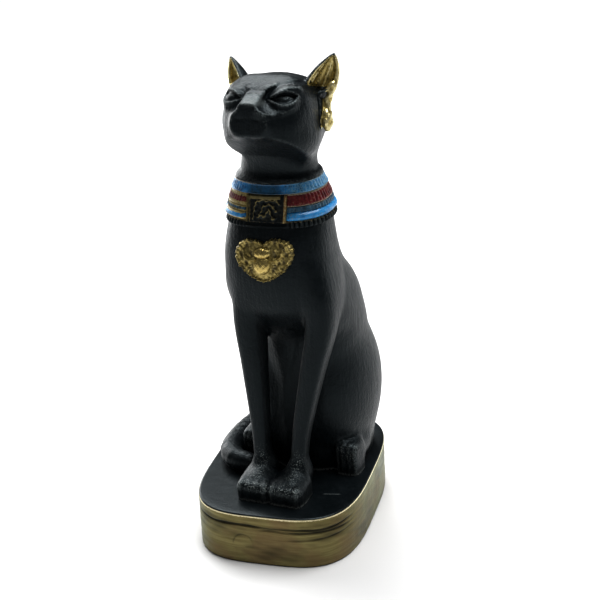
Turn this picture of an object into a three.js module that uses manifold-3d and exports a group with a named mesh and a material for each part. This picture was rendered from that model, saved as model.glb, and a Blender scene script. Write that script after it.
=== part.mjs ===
// A small painted resin figure of a seated cat goddess, cast in one piece with its oblong base.
// The frame is right-handed, in millimetres: +Z up, the cat looks along -Y, its left side is +X,
// and the origin is the centre of the base's underside.
import * as THREE from "three";
import { mergeVertices } from "three/addons/utils/BufferGeometryUtils.js";
import Module from "manifold-3d";

// Driving dimensions of the base: a rounded oblong (a superellipse) with upright walls.
const BASE_WIDTH = 42.8;
const BASE_LENGTH = 58.8;
const BASE_HEIGHT = 13.7;
const BASE_SQUARENESS = 3.5; // 2 gives an ellipse, more gives fuller corners
const BASE_EDGE = 0.6; // worn rounding of the top and bottom edges

// Driving dimensions of the cat.
const FIGURE_HEIGHT = 107.5; // from the base's top to the ear tips
const FIGURE_TURN = -7; // degrees about the upright axis: the cat sits slightly askew on its base
const FIGURE_OFFSET = 3.0; // the cat sits to its own left, which leaves room for the tail
const FIGURE_SINK = 1.5; // how far the casting runs down into the base
const COLLAR_RELIEF = 1.2; // how far the collar's bands stand out
const PENDANT_RELIEF = 2.0; // how far the winged beetle stands out

// How finely the surface is taken below and above the chest, and how many faces are kept.
const LATTICE_STEP = 0.85;
const LATTICE_FINE = 0.5;
const FACES_KEPT = 9040;

// The cat is carved in hundredths of its own height, from the top of the base.
const UNIT = FIGURE_HEIGHT / 100;
const SINK = FIGURE_SINK / UNIT;

const HEAD_AT = [0.6, -7.4, 90.0];
const HEAD_NOD = 16; // degrees, nose up
const HEAD_TURN = 2; // degrees, towards the cat's right
const HEAD_TILT = 1; // degrees, its right ear lower
const COLLAR = { foot: 64.6, top: 9.2, lip: 11, tilt: 0.03, roll: 0.035 };
const PLATE = { half: 4.7, low: 0.75, high: 6.7, bar: 4.0, relief: 0.65, barRelief: 1.15 };
const PENDANT = { x: 0, z: 57.3, roll: 0.06 };

// How far the lattice round the cat reaches, and where it changes between coarse and fine.
const REACH = { right: 24, left: 21, front: 26, back: 28, top: 103 };
const FACE_BACK = -6;
const PAWS = 9;
const CHEST = 50;

// The torso and neck as stations: height, sideways shift, front, back, half width and
// squareness of the section.
const TORSO = [
  [-4, 0.4, -3.5, 22.5, 12.5, 2.2],
  [8, 0.4, -4.3, 24.2, 13.2, 2.2],
  [20, 0.4, -5.0, 23.4, 13.6, 2.3],
  [30, 0.3, -5.6, 20.3, 13.3, 2.4],
  [36, 0.1, -6.6, 18.6, 13.6, 2.4],
  [40.5, -0.4, -10.6, 17.4, 14.0, 2.5],
  [44.5, -0.8, -13.4, 16.1, 14.0, 2.6],
  [48.5, -1.2, -14.4, 13.3, 13.7, 2.7],
  [53, -1.3, -14.8, 8.9, 12.9, 2.7],
  [57.5, -1.3, -14.4, 6.3, 12.6, 2.6],
  [62, -1.2, -13.4, 5.3, 12.1, 2.5],
  [66, -1.1, -12.1, 4.8, 11.5, 2.4],
  [70, -1.1, -11.2, 4.3, 10.5, 2.3],
  [74, -1.2, -10.4, 3.7, 9.2, 2.2],
  [78, -1.1, -9.9, 3.3, 8.6, 2.1],
  [83, -0.6, -9.6, 3.6, 8.6, 2.0],
  [89, 0, -9.0, 4.0, 8.2, 2.0],
];
const NECK_TOP = 86; // the neck ends inside the head

// One front leg as stations: height, middle, half width, half depth and squareness. Its twin is mirrored.
const LEG = [
  [-3, 4.5, -12.6, 2.2, 2.2, 2.4],
  [5, 4.5, -12.6, 2.15, 2.3, 2.6],
  [9, 4.7, -12.5, 1.9, 2.2, 3.0],
  [14, 5.1, -12.1, 1.95, 2.3, 3.0],
  [20, 5.8, -11.5, 2.25, 2.6, 3.0],
  [30, 7.2, -10.6, 2.75, 3.2, 3.0],
  [41, 8.7, -9.0, 3.5, 4.3, 2.8],
  [49, 7.9, -6.8, 4.2, 6.4, 2.6],
  [58, 5.4, -5.0, 4.2, 6.6, 2.4],
];

// The tail's middle line, from the rump round the cat's right side, with its radius.
const TAIL = [
  [1, 22.3, 4.4, 3.8],
  [-7.5, 22.8, 3.7, 3.3],
  [-14.4, 18.2, 3.1, 3.0],
  [-17.6, 10.5, 2.8, 2.8],
  [-18.4, 2.5, 2.7, 2.7],
  [-17.6, -4.0, 2.6, 2.6],
  [-14.6, -7.9, 2.6, 2.5],
  [-10.8, -8.6, 2.5, 2.3],
];

const clamp = (v, low, high) => Math.min(high, Math.max(low, v));
const mix = (a, b, t) => a + (b - a) * t;
const radians = (degrees) => (degrees * Math.PI) / 180;

// 0 below low, 1 above high and a smooth S between them; low may be the larger.
function smoothStep(low, high, v) {
  const t = clamp((v - low) / (high - low), 0, 1);
  return t * t * (3 - 2 * t);
}

// 1 at zero, falling off on both sides like a bell.
const bell = (v, width) => Math.exp(-((v / width) ** 2));

// The lower of two distances, with the valley between them filled over a width of k.
function blend(a, b, k) {
  const h = Math.max(k - Math.abs(a - b), 0) / k;
  return Math.min(a, b) - (h * h * k) / 4;
}

// The part of a that lies within -b, with the new edge rounded over a width of k.
const carve = (a, b, k) => -blend(-a, b, k);

function ellipsoid(x, y, z, at, size) {
  const px = (x - at[0]) / size[0];
  const py = (y - at[1]) / size[1];
  const pz = (z - at[2]) / size[2];
  const near = Math.hypot(px, py, pz);
  const slope = Math.hypot(px / size[0], py / size[1], pz / size[2]);
  return slope < 1e-9 ? -Math.min(...size) : (near * (near - 1)) / slope;
}

// A bar from one point to another whose radius changes on the way.
function limb(x, y, z, from, to, fromRadius, toRadius) {
  const ax = to[0] - from[0];
  const ay = to[1] - from[1];
  const az = to[2] - from[2];
  const px = x - from[0];
  const py = y - from[1];
  const pz = z - from[2];
  const t = clamp((px * ax + py * ay + pz * az) / (ax * ax + ay * ay + az * az), 0, 1);
  return Math.hypot(px - ax * t, py - ay * t, pz - az * t) - mix(fromRadius, toRadius, t);
}

// A rounded box, pitched about the X axis.
function block(x, y, z, at, half, round, pitch = 0) {
  const c = Math.cos(radians(pitch));
  const s = Math.sin(radians(pitch));
  const along = y - at[1];
  const up = z - at[2];
  const place = [x - at[0], along * c + up * s, up * c - along * s];
  const past = place.map((v, axis) => Math.abs(v) - half[axis] + round);
  const outside = Math.hypot(...past.map((v) => Math.max(v, 0)));
  return outside + Math.min(Math.max(...past), 0) - round;
}

// The height over a plane through a point.
function plane(x, y, z, at, normal) {
  const size = Math.hypot(...normal);
  return ((x - at[0]) * normal[0] + (y - at[1]) * normal[1] + (z - at[2]) * normal[2]) / size;
}

// An upright prism with a superelliptic section.
function oval(x, y, halfX, halfY, square) {
  const near = (Math.abs(x / halfX) ** square + Math.abs(y / halfY) ** square) ** (1 / square);
  return (near - 1) * Math.min(halfX, halfY);
}

// The values of a table of stations at a height, each on a smooth curve through the listed ones.
function stationAt(table, z) {
  const last = table.length - 1;
  const level = clamp(z, table[0][0], table[last][0] - 1e-6);
  let i = 0;
  while (table[i + 1][0] <= level) i += 1;
  const before = table[Math.max(i - 1, 0)];
  const low = table[i];
  const high = table[i + 1];
  const after = table[Math.min(i + 2, last)];
  const span = high[0] - low[0];
  const t = (level - low[0]) / span;
  return low.slice(1).map((v, k) => {
    const start = ((high[k + 1] - before[k + 1]) / (high[0] - before[0])) * span;
    const end = ((after[k + 1] - v) / (after[0] - low[0])) * span;
    return (
      (2 * t ** 3 - 3 * t * t + 1) * v +
      (t ** 3 - 2 * t * t + t) * start +
      (3 * t * t - 2 * t ** 3) * high[k + 1] +
      (t ** 3 - t * t) * end
    );
  });
}

// How far a ridge stands out of the web between the front legs: wide under the arch, narrow below.
function webRidge(x, y, z) {
  const middle = mix(-2.2, -0.9, smoothStep(14, 36, z));
  const width = mix(0.7, 3.2, smoothStep(22, 36.5, z));
  const right = smoothStep(-2.6, 0.6, width + x - middle);
  const left = smoothStep(-1, 1, width - x + middle);
  return y < 0 ? 0.5 * right * left * smoothStep(38.5, 36.5, z) : 0;
}

const collarHeight = (chest, y, z) => z - COLLAR.foot - COLLAR.tilt * (y + 12) - COLLAR.roll * chest;

// The trunk from the haunches to the neck. It swells a little over the collar's upper edge.
function torso(x, y, z, station) {
  const [shift, front, back, half, square] = station;
  const d = oval(x - shift, y - (front + back) / 2, half, (back - front) / 2, square);
  const up = collarHeight(x - shift, y, z);
  const lip = 0.6 * smoothStep(COLLAR.top - 1, COLLAR.top, up) * smoothStep(COLLAR.lip, COLLAR.top + 0.4, up);
  return d - webRidge(x, y, z) - lip;
}

// A chain of limbs through the listed points.
function chain(x, y, z, line, k) {
  let d = Infinity;
  for (let i = 0; i + 1 < line.length; i += 1)
    d = blend(d, limb(x, y, z, line[i], line[i + 1], line[i][3], line[i + 1][3]), k);
  return d;
}

// A square paw whose four toes are parted by grooves over its top and front.
function paw(x, y, z, at, half, toe, pitch) {
  const parting = 1 - Math.abs(Math.sin((Math.PI * (x - at[0])) / toe)) ** 0.7;
  const inFront = smoothStep(at[1] - 0.2 * half[1], at[1] - 0.6 * half[1], y);
  return block(x, y, z, at, half, 1.8, pitch) + 0.26 * parting * inFront;
}

// One front leg and paw of a mirrored pair, on the +X side.
function frontLeg(x, y, z) {
  const [middle, depth, halfX, halfY, square] = stationAt(LEG, z);
  const top = LEG[LEG.length - 1][0];
  const shaft = carve(oval(x - middle, y - depth, halfX, halfY, square), top - 1 - z, 2.5);
  const instep = limb(x, y, z, [4.3, -12.4, 4.6], [4.0, -17.2, 2.6], 3.0, 3.3);
  const foot = blend(instep, paw(x, y, z, [3.98, -17.6, 1.9], [4.3, 4.4, 3.2], 2.0, 8), 1.0);
  return blend(shaft, foot, 2.0);
}

// One haunch with its hind paw, on the +X side.
function haunch(x, y, z) {
  const thigh = ellipsoid(x, y, z, [6.4, 9.0, 18.3], [9.5, 14.4, 18.8]);
  const heel = limb(x, y, z, [10.6, 6, 4.5], [11.5, 0.8, 4.6], 4.1, 3.5);
  const foot = blend(heel, paw(x, y, z, [12.1, -0.4, 3.4], [2.9, 3.3, 4.9], 1.45, 4), 1.0);
  return blend(thigh, foot, 2.0);
}

// The tail's line with two more points between each pair, on a smooth curve.
const TAIL_PATH = (() => {
  const table = TAIL.map((knot, i) => [i, ...knot]);
  const count = 3 * (TAIL.length - 1) + 1;
  return Array.from({ length: count }, (_, n) => stationAt(table, n / 3));
})();

// The collar's bands from the fringe of teeth up: lower edge, upper edge and share of the relief.
const BANDS = [
  [-0.5, 1.1, 0.7],
  [1.1, 3.0, 1.2],
  [3.0, 4.2, 0.95],
  [4.2, 6.9, 0.95],
  [6.9, 9.2, 0.9],
];
const FRINGE_GAP = 5.2; // the fringe lies flatter under the front plate

// How far the collar stands out, in shares of its relief: rounded bands, and a flat plate in front with a
// bar on its left edge.
function collarShare(chest, y, up) {
  const side = Math.abs(chest);
  if (y < 0 && side < PLATE.half && up > PLATE.low && up < PLATE.high)
    return chest > PLATE.bar ? PLATE.barRelief : PLATE.relief;
  const [low, high, share] = BANDS.find((band) => up < band[1]) ?? BANDS[BANDS.length - 1];
  const place = clamp((up - low) / (high - low), 0, 1);
  const flatter = y < 0 && side < FRINGE_GAP && up < BANDS[0][1] ? 0.4 : 1;
  return share * flatter * (0.5 + Math.sqrt(place * (1 - place)));
}

// The collar follows the neck's surface.
function collar(chest, y, z, neck) {
  const up = collarHeight(chest, y, z);
  const relief = (COLLAR_RELIEF / UNIT) * collarShare(chest, y, up);
  return Math.max(neck - relief, BANDS[0][0] - up, up - COLLAR.top);
}

// How far the pendant's outline reaches, every 15 degrees from straight down round by the cat's left.
const PENDANT_REACH = [
  5.0, 4.95, 4.9, 5.1, 5.6, 6.0, 6.8, 7.2, 7.05, 6.2, 5.4, 4.7,
  3.6, 4.4, 5.2, 6.4, 7.1, 7.3, 6.8, 5.85, 5.2, 4.8, 4.6, 4.8,
];

function pendantReach(turn) {
  const count = PENDANT_REACH.length;
  const place = ((turn / (2 * Math.PI) + 1) * count) % count;
  const i = Math.floor(place);
  return mix(PENDANT_REACH[i], PENDANT_REACH[(i + 1) % count], place - i);
}

// A winged beetle: a flat heart shape with the domes of the body and the head on it.
function pendant(x, y, z, chest) {
  const across = x - PENDANT.x;
  const up = z - PENDANT.z - PENDANT.roll * across;
  const edge = Math.hypot(across, up) - pendantReach(Math.atan2(across, -up));
  const dome = (at, halfX, halfZ) =>
    Math.sqrt(clamp(1 - (across / halfX) ** 2 - ((up - at) / halfZ) ** 2, 0, 1));
  const share = 0.38 + 0.62 * Math.max(dome(-1.7, 2.05, 2.1), 0.8 * dome(1.5, 1.9, 1.5));
  return Math.max(chest - (PENDANT_RELIEF / UNIT) * share, edge, y + 6);
}

// One ear of a mirrored pair: a cup that opens forwards and outwards and narrows to its tip, with two
// folds inside. Its lower corner runs on down the side of the head to a lobe.
const EAR = { foot: [9.0, 0.5, 3.0], tip: [12.2, 1.2, 11.2], turn: 52, radius: 3.7 };
const EAR_LEAN = 0.055; // the left ear stands higher than the right one
const STRIP = [
  [11.8, 2.3, 4.4, 1.0],
  [10.9, 2.4, 1.2, 0.8],
  [10.85, 2.2, -1.4, 0.85],
];

function ear(x, y, z) {
  const rise = EAR.tip[2] - EAR.foot[2];
  const share = (z - EAR.foot[2]) / rise;
  const h = clamp(share, 0, 1);
  const px = x - mix(EAR.foot[0], EAR.tip[0], h);
  const py = y - mix(EAR.foot[1], EAR.tip[1], h);
  const c = Math.cos(radians(EAR.turn));
  const s = Math.sin(radians(EAR.turn));
  const across = px * s + py * c;
  const out = px * c - py * s;
  const width = EAR.radius * (1 - h ** 1.6) * (0.9 + 0.45 * h) + 0.3;
  const radius = width * smoothStep(-0.2, 0.22, share) + 1e-6;
  const near = Math.hypot(across, out * 1.15);
  const fold = (place) => 0.5 * bell(across / radius - place, 0.1);
  const folds = near < radius ? (fold(-0.42) + fold(0.3)) * smoothStep(0.95, 0.6, h) : 0;
  const shell = Math.max(near - radius, radius - near - folds - mix(1.3, 0.95, h));
  const ends = Math.max(share - 1, -share - 0.2) * rise;
  const body = Math.max(shell, out - 0.12 * radius - 0.25, ends);
  const lobe = ellipsoid(x, y, z, [11.3, 2.1, -3.1], [1.15, 1.5, 2.2]);
  return blend(blend(body, chain(x, y, z, STRIP, 0.4), 0.5), lobe, 0.9);
}

const FACE_LEAN = 0.03; // the face is set a little towards the cat's right
const NOSE_SHIFT = 0.35; // and the nose and muzzle some more

// The eye: a point on the face, its directions along, up and out, and the almond's middle and half length.
const EYE = (() => {
  const along = new THREE.Vector3(4.8, 4.0, 0.5).normalize();
  const out = new THREE.Vector3().crossVectors(along, new THREE.Vector3(0, 0, 1)).normalize();
  const up = new THREE.Vector3().crossVectors(out, along);
  return { at: new THREE.Vector3(6.2, -9.4, 1.3), along, up, out, middle: 0.4, half: 3.1 };
})();

// Lines round the eye in its own plane, each point given along and up.
const BROW_GROOVE = [[-3.0, 0.0], [-2.4, 1.3], [-1.1, 2.3], [0.4, 3.1], [2.4, 3.5], [5.2, 3.7]];
const BROW_LIP = [[-3.7, 1.2], [-2.6, 2.4], [-0.9, 3.2]];
const BROW_RIDGE = [[-1.9, 0.9], [-0.8, 1.9], [1.2, 2.5], [4.0, 2.3]];
const CHEEK_EDGE = [[-5.6, -2.3], [-4.5, -2.9], [-2.6, -3.1], [-0.2, -2.7], [2.0, -1.6], [3.6, 0]];

// 1 on a line through the listed points, falling off over a width.
function trace(u, v, line, width) {
  let away = Infinity;
  for (let i = 0; i + 1 < line.length; i += 1) {
    const du = line[i + 1][0] - line[i][0];
    const dv = line[i + 1][1] - line[i][1];
    const pu = u - line[i][0];
    const pv = v - line[i][1];
    const t = clamp((pu * du + pv * dv) / (du * du + dv * dv), 0, 1);
    away = Math.min(away, Math.hypot(pu - du * t, pv - dv * t));
  }
  return bell(away, width);
}

// Lids round a slanting almond, an eyeball sunk between them, a groove that sweeps over the brow, and the
// edge of the cheek under the eye. The brow is a share of its full strength.
function eyeRelief(x, y, z, brow) {
  const place = new THREE.Vector3(x, y, z).sub(EYE.at);
  const [u, v, w] = [EYE.along, EYE.up, EYE.out].map((axis) => place.dot(axis));
  const t = clamp((u - EYE.middle) / EYE.half, -1.3, 1.3);
  const line = 0.52 + 0.3 * t;
  const upper = line + 1.15 * (1 - t * t);
  const lower = line - 1.6 * (1 - t * t);
  const ends = smoothStep(1.2, 0.8, Math.abs(t)) * smoothStep(5.5, 0.5, u);
  const lids = (0.3 * bell(v - upper, 0.36) + 0.4 * bell(v - lower + 0.15, 0.45)) * ends;
  const inside = smoothStep(0, 0.45, Math.min(upper - v, v - lower));
  const ball = Math.sqrt(clamp(1 - ((u - 0.3) / 2.1) ** 2 - ((v + 0.05) / 0.95) ** 2, 0, 1));
  const depth = mix(0.85, 0.22, smoothStep(-2.8, 0.5, u));
  const groove = depth * trace(u, v, BROW_GROOVE, mix(0.75, 0.4, smoothStep(-3, 1, u)));
  const ridge = 0.3 * trace(u, v, BROW_LIP, 0.6) + 0.55 * trace(u, v, BROW_RIDGE, 0.55);
  const cheek = 0.4 * smoothStep(4.5, 1.0, u) * trace(u, v, CHEEK_EDGE, 0.7);
  const opening = (lids + inside * (0.42 * ball - 0.8)) * (0.5 + 0.5 * brow);
  return (opening + (ridge + cheek - groove) * brow) * smoothStep(-5.5, -3.5, w);
}

// The muzzle: a broad block under the nose.
function muzzle(x, y, z) {
  const lower = block(x, y, z, [0, -10.6, -4.0], [3.85, 3.0, 1.9], 1.5);
  const upper = block(x, y, z, [0, -10.8, -2.4], [1.9, 2.8, 2.6], 1.0);
  return blend(lower, upper, 2.6);
}

// The head, in its own upright frame: its middle at the origin, looking along -Y.
function head(x, y, z) {
  const leant = x - FACE_LEAN * Math.min(y + 2, 0);
  const side = Math.abs(leant);
  const nose = Math.abs(leant + NOSE_SHIFT);
  const crown = block(side, y, z, [0, 1.0, 0], [10.0, 10.8, 6.8], 6.6);
  const skull = blend(crown, ellipsoid(side, y, z, [0, 2.5, 0.3], [10.0, 10.4, 7.3]), 1.0);
  const forehead = plane(side, y, z, [0, -6.2, 5.7], [0, -0.62, 0.785]);
  const jaw = ellipsoid(side, y, z, [0, -1.0, -5.1], [10.4, 10.9, 8.4]);
  const underside = plane(side, y, z, [0, -12.4, -6.2], [0, -0.34, -0.94]);
  let d = blend(carve(skull, -forehead, 0.8), carve(jaw, -underside, 0.5), 2.0);
  d = blend(d, limb(side, y, z, [2.2, -10.0, -4.0], [5.6, -6.2, -3.0], 2.3, 3.1), 1.6);
  d = blend(d, ellipsoid(side, y, z, [5.0, -7.3, 0.5], [3.4, 2.7, 3.3]), 0.8);
  d = blend(d, muzzle(nose, y, z), 2.2);
  d = blend(d, block(nose, y, z, [0, -9.9, -1.4], [2.2, 3.2, 3.0], 0.8, 42), 0.6);
  const front = plane(x, y, z, [0, -13.15, 0], [0, -0.985, -0.17]);
  d = carve(d, -front, 0.5);
  d += 0.16 * bell(limb(nose, y, z, [0, -13.2, -3.0], [4.8, -11.6, -3.4], 0, 0), 0.3);
  if (y < 2) d -= eyeRelief(side, y, z, x < 0 ? 0.25 : 1);
  const out = Math.abs(x);
  const level = z - EAR_LEAN * x;
  d = carve(d, limb(out, y, level, [9.9, -0.6, 4.6], [10.0, 0.4, -4.2], 0.5, 0.45), 0.3);
  return blend(d, ear(out, y, level), 0.4);
}

const HEAD_FRAME = new THREE.Matrix4()
  .makeRotationX(radians(-HEAD_NOD))
  .premultiply(new THREE.Matrix4().makeRotationY(radians(-HEAD_TILT)))
  .premultiply(new THREE.Matrix4().makeRotationZ(radians(-HEAD_TURN)))
  .setPosition(...HEAD_AT)
  .invert();

function headInPlace(x, y, z) {
  const p = new THREE.Vector3(x, y, z).applyMatrix4(HEAD_FRAME);
  return head(p.x, p.y, p.z);
}

// The signed distance to the whole cat's surface, in its own frame.
function cat(x, y, z) {
  const station = stationAt(TORSO, z);
  const trunk = torso(x, y, z, station);
  const leg = Math.abs(x - mix(-0.4, 1.0, smoothStep(8, 44, z)));
  let d = carve(trunk, NECK_TOP - z, 4);
  if (z < 50) d = blend(d, haunch(Math.abs(x), y, z), 1.6);
  d = blend(d, frontLeg(leg, y, z), 1.2);
  if (z < 16) d = blend(d, chain(x, y, z, TAIL_PATH, 0.5), 0.6);
  const chest = x - station[0];
  if (z > 58) d = Math.min(d, collar(chest, y, z, trunk));
  if (z > 40 && z < 70) d = Math.min(d, pendant(chest, y, z, d));
  if (z > 68) d = blend(d, headInPlace(x, y, z), 3);
  return Math.max(d, -SINK - z);
}

// The lattice's planes along one axis: coarse and fine stretches, an even number of blocks long.
function planes(stretches, block) {
  const list = [stretches[0][0]];
  for (const [from, to, step] of stretches) {
    const count = Math.ceil((to - from) / step / block) * block;
    for (let i = 1; i <= count; i += 1) list.push(from + ((to - from) * i) / count);
  }
  return list;
}

// Samples the field on a lattice that encloses the cat. Blocks far from the surface keep one value.
function sampleLattice() {
  const step = LATTICE_STEP / UNIT;
  const fine = LATTICE_FINE / UNIT;
  const block = 4;
  const axes = [
    planes([[-REACH.right, REACH.left, fine * 1.15]], block),
    planes([[-REACH.front, FACE_BACK, fine], [FACE_BACK, REACH.back, step]], block),
    planes([[-SINK - 2 * step, PAWS, fine * 1.2], [PAWS, CHEST, step], [CHEST, REACH.top, fine]], block),
  ];
  const count = axes.map((list) => list.length);
  const index = (i, j, k) => (k * count[1] + j) * count[0] + i;
  const values = new Float32Array(count[0] * count[1] * count[2]);
  const at = (i, j, k) => cat(axes[0][i], axes[1][j], axes[2][k]);
  for (let k = 0; k < count[2]; k += block)
    for (let j = 0; j < count[1]; j += block)
      for (let i = 0; i < count[0]; i += block) {
        const ends = [i, j, k].map((n, axis) => Math.min(n + block, count[axis] - 1));
        const size = [i, j, k].map((n, axis) => axes[axis][ends[axis]] - axes[axis][n]);
        const middle = [i, j, k].map((n, axis) => (axes[axis][ends[axis]] + axes[axis][n]) / 2);
        const value = cat(...middle);
        const far = Math.abs(value) > 0.9 * Math.hypot(...size) + step;
        for (let c = k; c < Math.min(k + block, count[2]); c += 1)
          for (let b = j; b < Math.min(j + block, count[1]); b += 1)
            for (let a = i; a < Math.min(i + block, count[0]); a += 1)
              values[index(a, b, c)] = far ? value : at(a, b, c);
      }
  return { values, count, index, axes };
}

// Fills the lattice points at which two parts of the surface would touch along one line only.
function mendLattice({ values, count }) {
  const steps = [1, count[0], count[0] * count[1]];
  const corners = [0, 1, 2, 3, 4, 5, 6, 7];
  const cell = corners.map((n) => (n & 1) * steps[0] + ((n >> 1) & 1) * steps[1] + (n >> 2) * steps[2]);
  const diagonals = [[0, 7], [1, 6], [2, 5], [4, 3]];
  const end = values.length - cell[7];
  for (let again = true; again; ) {
    again = false;
    for (let o = 0; o < end; o += 1) {
      let inside = 0;
      for (let n = 0; n < 8; n += 1) if (values[o + cell[n]] < 0) inside |= 1 << n;
      if (inside === 0 || inside === 255) continue;
      for (let s = 0; s < 3; s += 1) {
        const p = 1 << s;
        const q = 1 << (s + 1) % 3;
        const [a, b, c, d] = [1, 1 << p, 1 << q, 1 << (p + q)].map((bit) => (inside & bit) !== 0);
        if (a === d && b === c && a !== b) {
          values[o + cell[a ? p : 0]] = -1e-3;
          again = true;
        }
      }
      for (const [a, b] of diagonals) {
        const pair = (1 << a) | (1 << b);
        if (inside !== pair && inside !== (255 ^ pair)) continue;
        for (let n = 0; n < 8; n += 1) if (values[o + cell[n]] >= 0) values[o + cell[n]] = -1e-3;
        again = true;
      }
    }
  }
}

// One vertex in each lattice cell that the surface crosses, and a quad round each crossed lattice edge.
function surfaceOf(lattice) {
  const { values, count, index, axes } = lattice;
  const owner = new Int32Array(values.length).fill(-1);
  const points = [];
  const corners = [0, 1, 2, 3, 4, 5, 6, 7].map((n) => [n & 1, (n >> 1) & 1, (n >> 2) & 1]);
  const edges = [];
  for (let a = 0; a < 8; a += 1)
    for (let axis = 0; axis < 3; axis += 1) if (!corners[a][axis]) edges.push([a, a | (1 << axis)]);
  for (let k = 0; k + 1 < count[2]; k += 1)
    for (let j = 0; j + 1 < count[1]; j += 1)
      for (let i = 0; i + 1 < count[0]; i += 1) {
        const v = corners.map(([a, b, c]) => values[index(i + a, j + b, k + c)]);
        const sum = [0, 0, 0];
        let crossings = 0;
        for (const [a, b] of edges) {
          if (v[a] < 0 === v[b] < 0) continue;
          const t = v[a] / (v[a] - v[b]);
          for (let n = 0; n < 3; n += 1) sum[n] += mix(corners[a][n], corners[b][n], t);
          crossings += 1;
        }
        if (!crossings) continue;
        owner[index(i, j, k)] = points.length / 3;
        for (const [axis, n] of [i, j, k].entries())
          points.push(mix(axes[axis][n], axes[axis][n + 1], sum[axis] / crossings));
      }
  const faces = [];
  const steps = [1, count[0], count[0] * count[1]];
  for (let k = 1; k + 1 < count[2]; k += 1)
    for (let j = 1; j + 1 < count[1]; j += 1)
      for (let i = 1; i + 1 < count[0]; i += 1) {
        const o = index(i, j, k);
        for (let s = 0; s < 3; s += 1) {
          const inside = values[o] < 0;
          if (inside === values[o + steps[s]] < 0) continue;
          const p = steps[(s + 1) % 3];
          const q = steps[(s + 2) % 3];
          const ring = [owner[o], owner[o - p], owner[o - p - q], owner[o - q]];
          if (!inside) ring.reverse();
          faces.push(ring[0], ring[1], ring[2], ring[0], ring[2], ring[3]);
        }
      }
  return { points, faces };
}

// A heap of edges by the harm that collapsing each would do.
class Heap {
  constructor() {
    this.items = [];
  }
  push(item) {
    const a = this.items;
    let i = a.push(item) - 1;
    while (i > 0 && a[(i - 1) >> 1].cost > item.cost) {
      a[i] = a[(i - 1) >> 1];
      i = (i - 1) >> 1;
    }
    a[i] = item;
  }
  pop() {
    const a = this.items;
    const top = a[0];
    const last = a.pop();
    if (!a.length) return top;
    let i = 0;
    for (;;) {
      let child = 2 * i + 1;
      if (child >= a.length) break;
      if (child + 1 < a.length && a[child + 1].cost < a[child].cost) child += 1;
      if (a[child].cost >= last.cost) break;
      a[i] = a[child];
      i = child;
    }
    a[i] = last;
    return top;
  }
}

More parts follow.
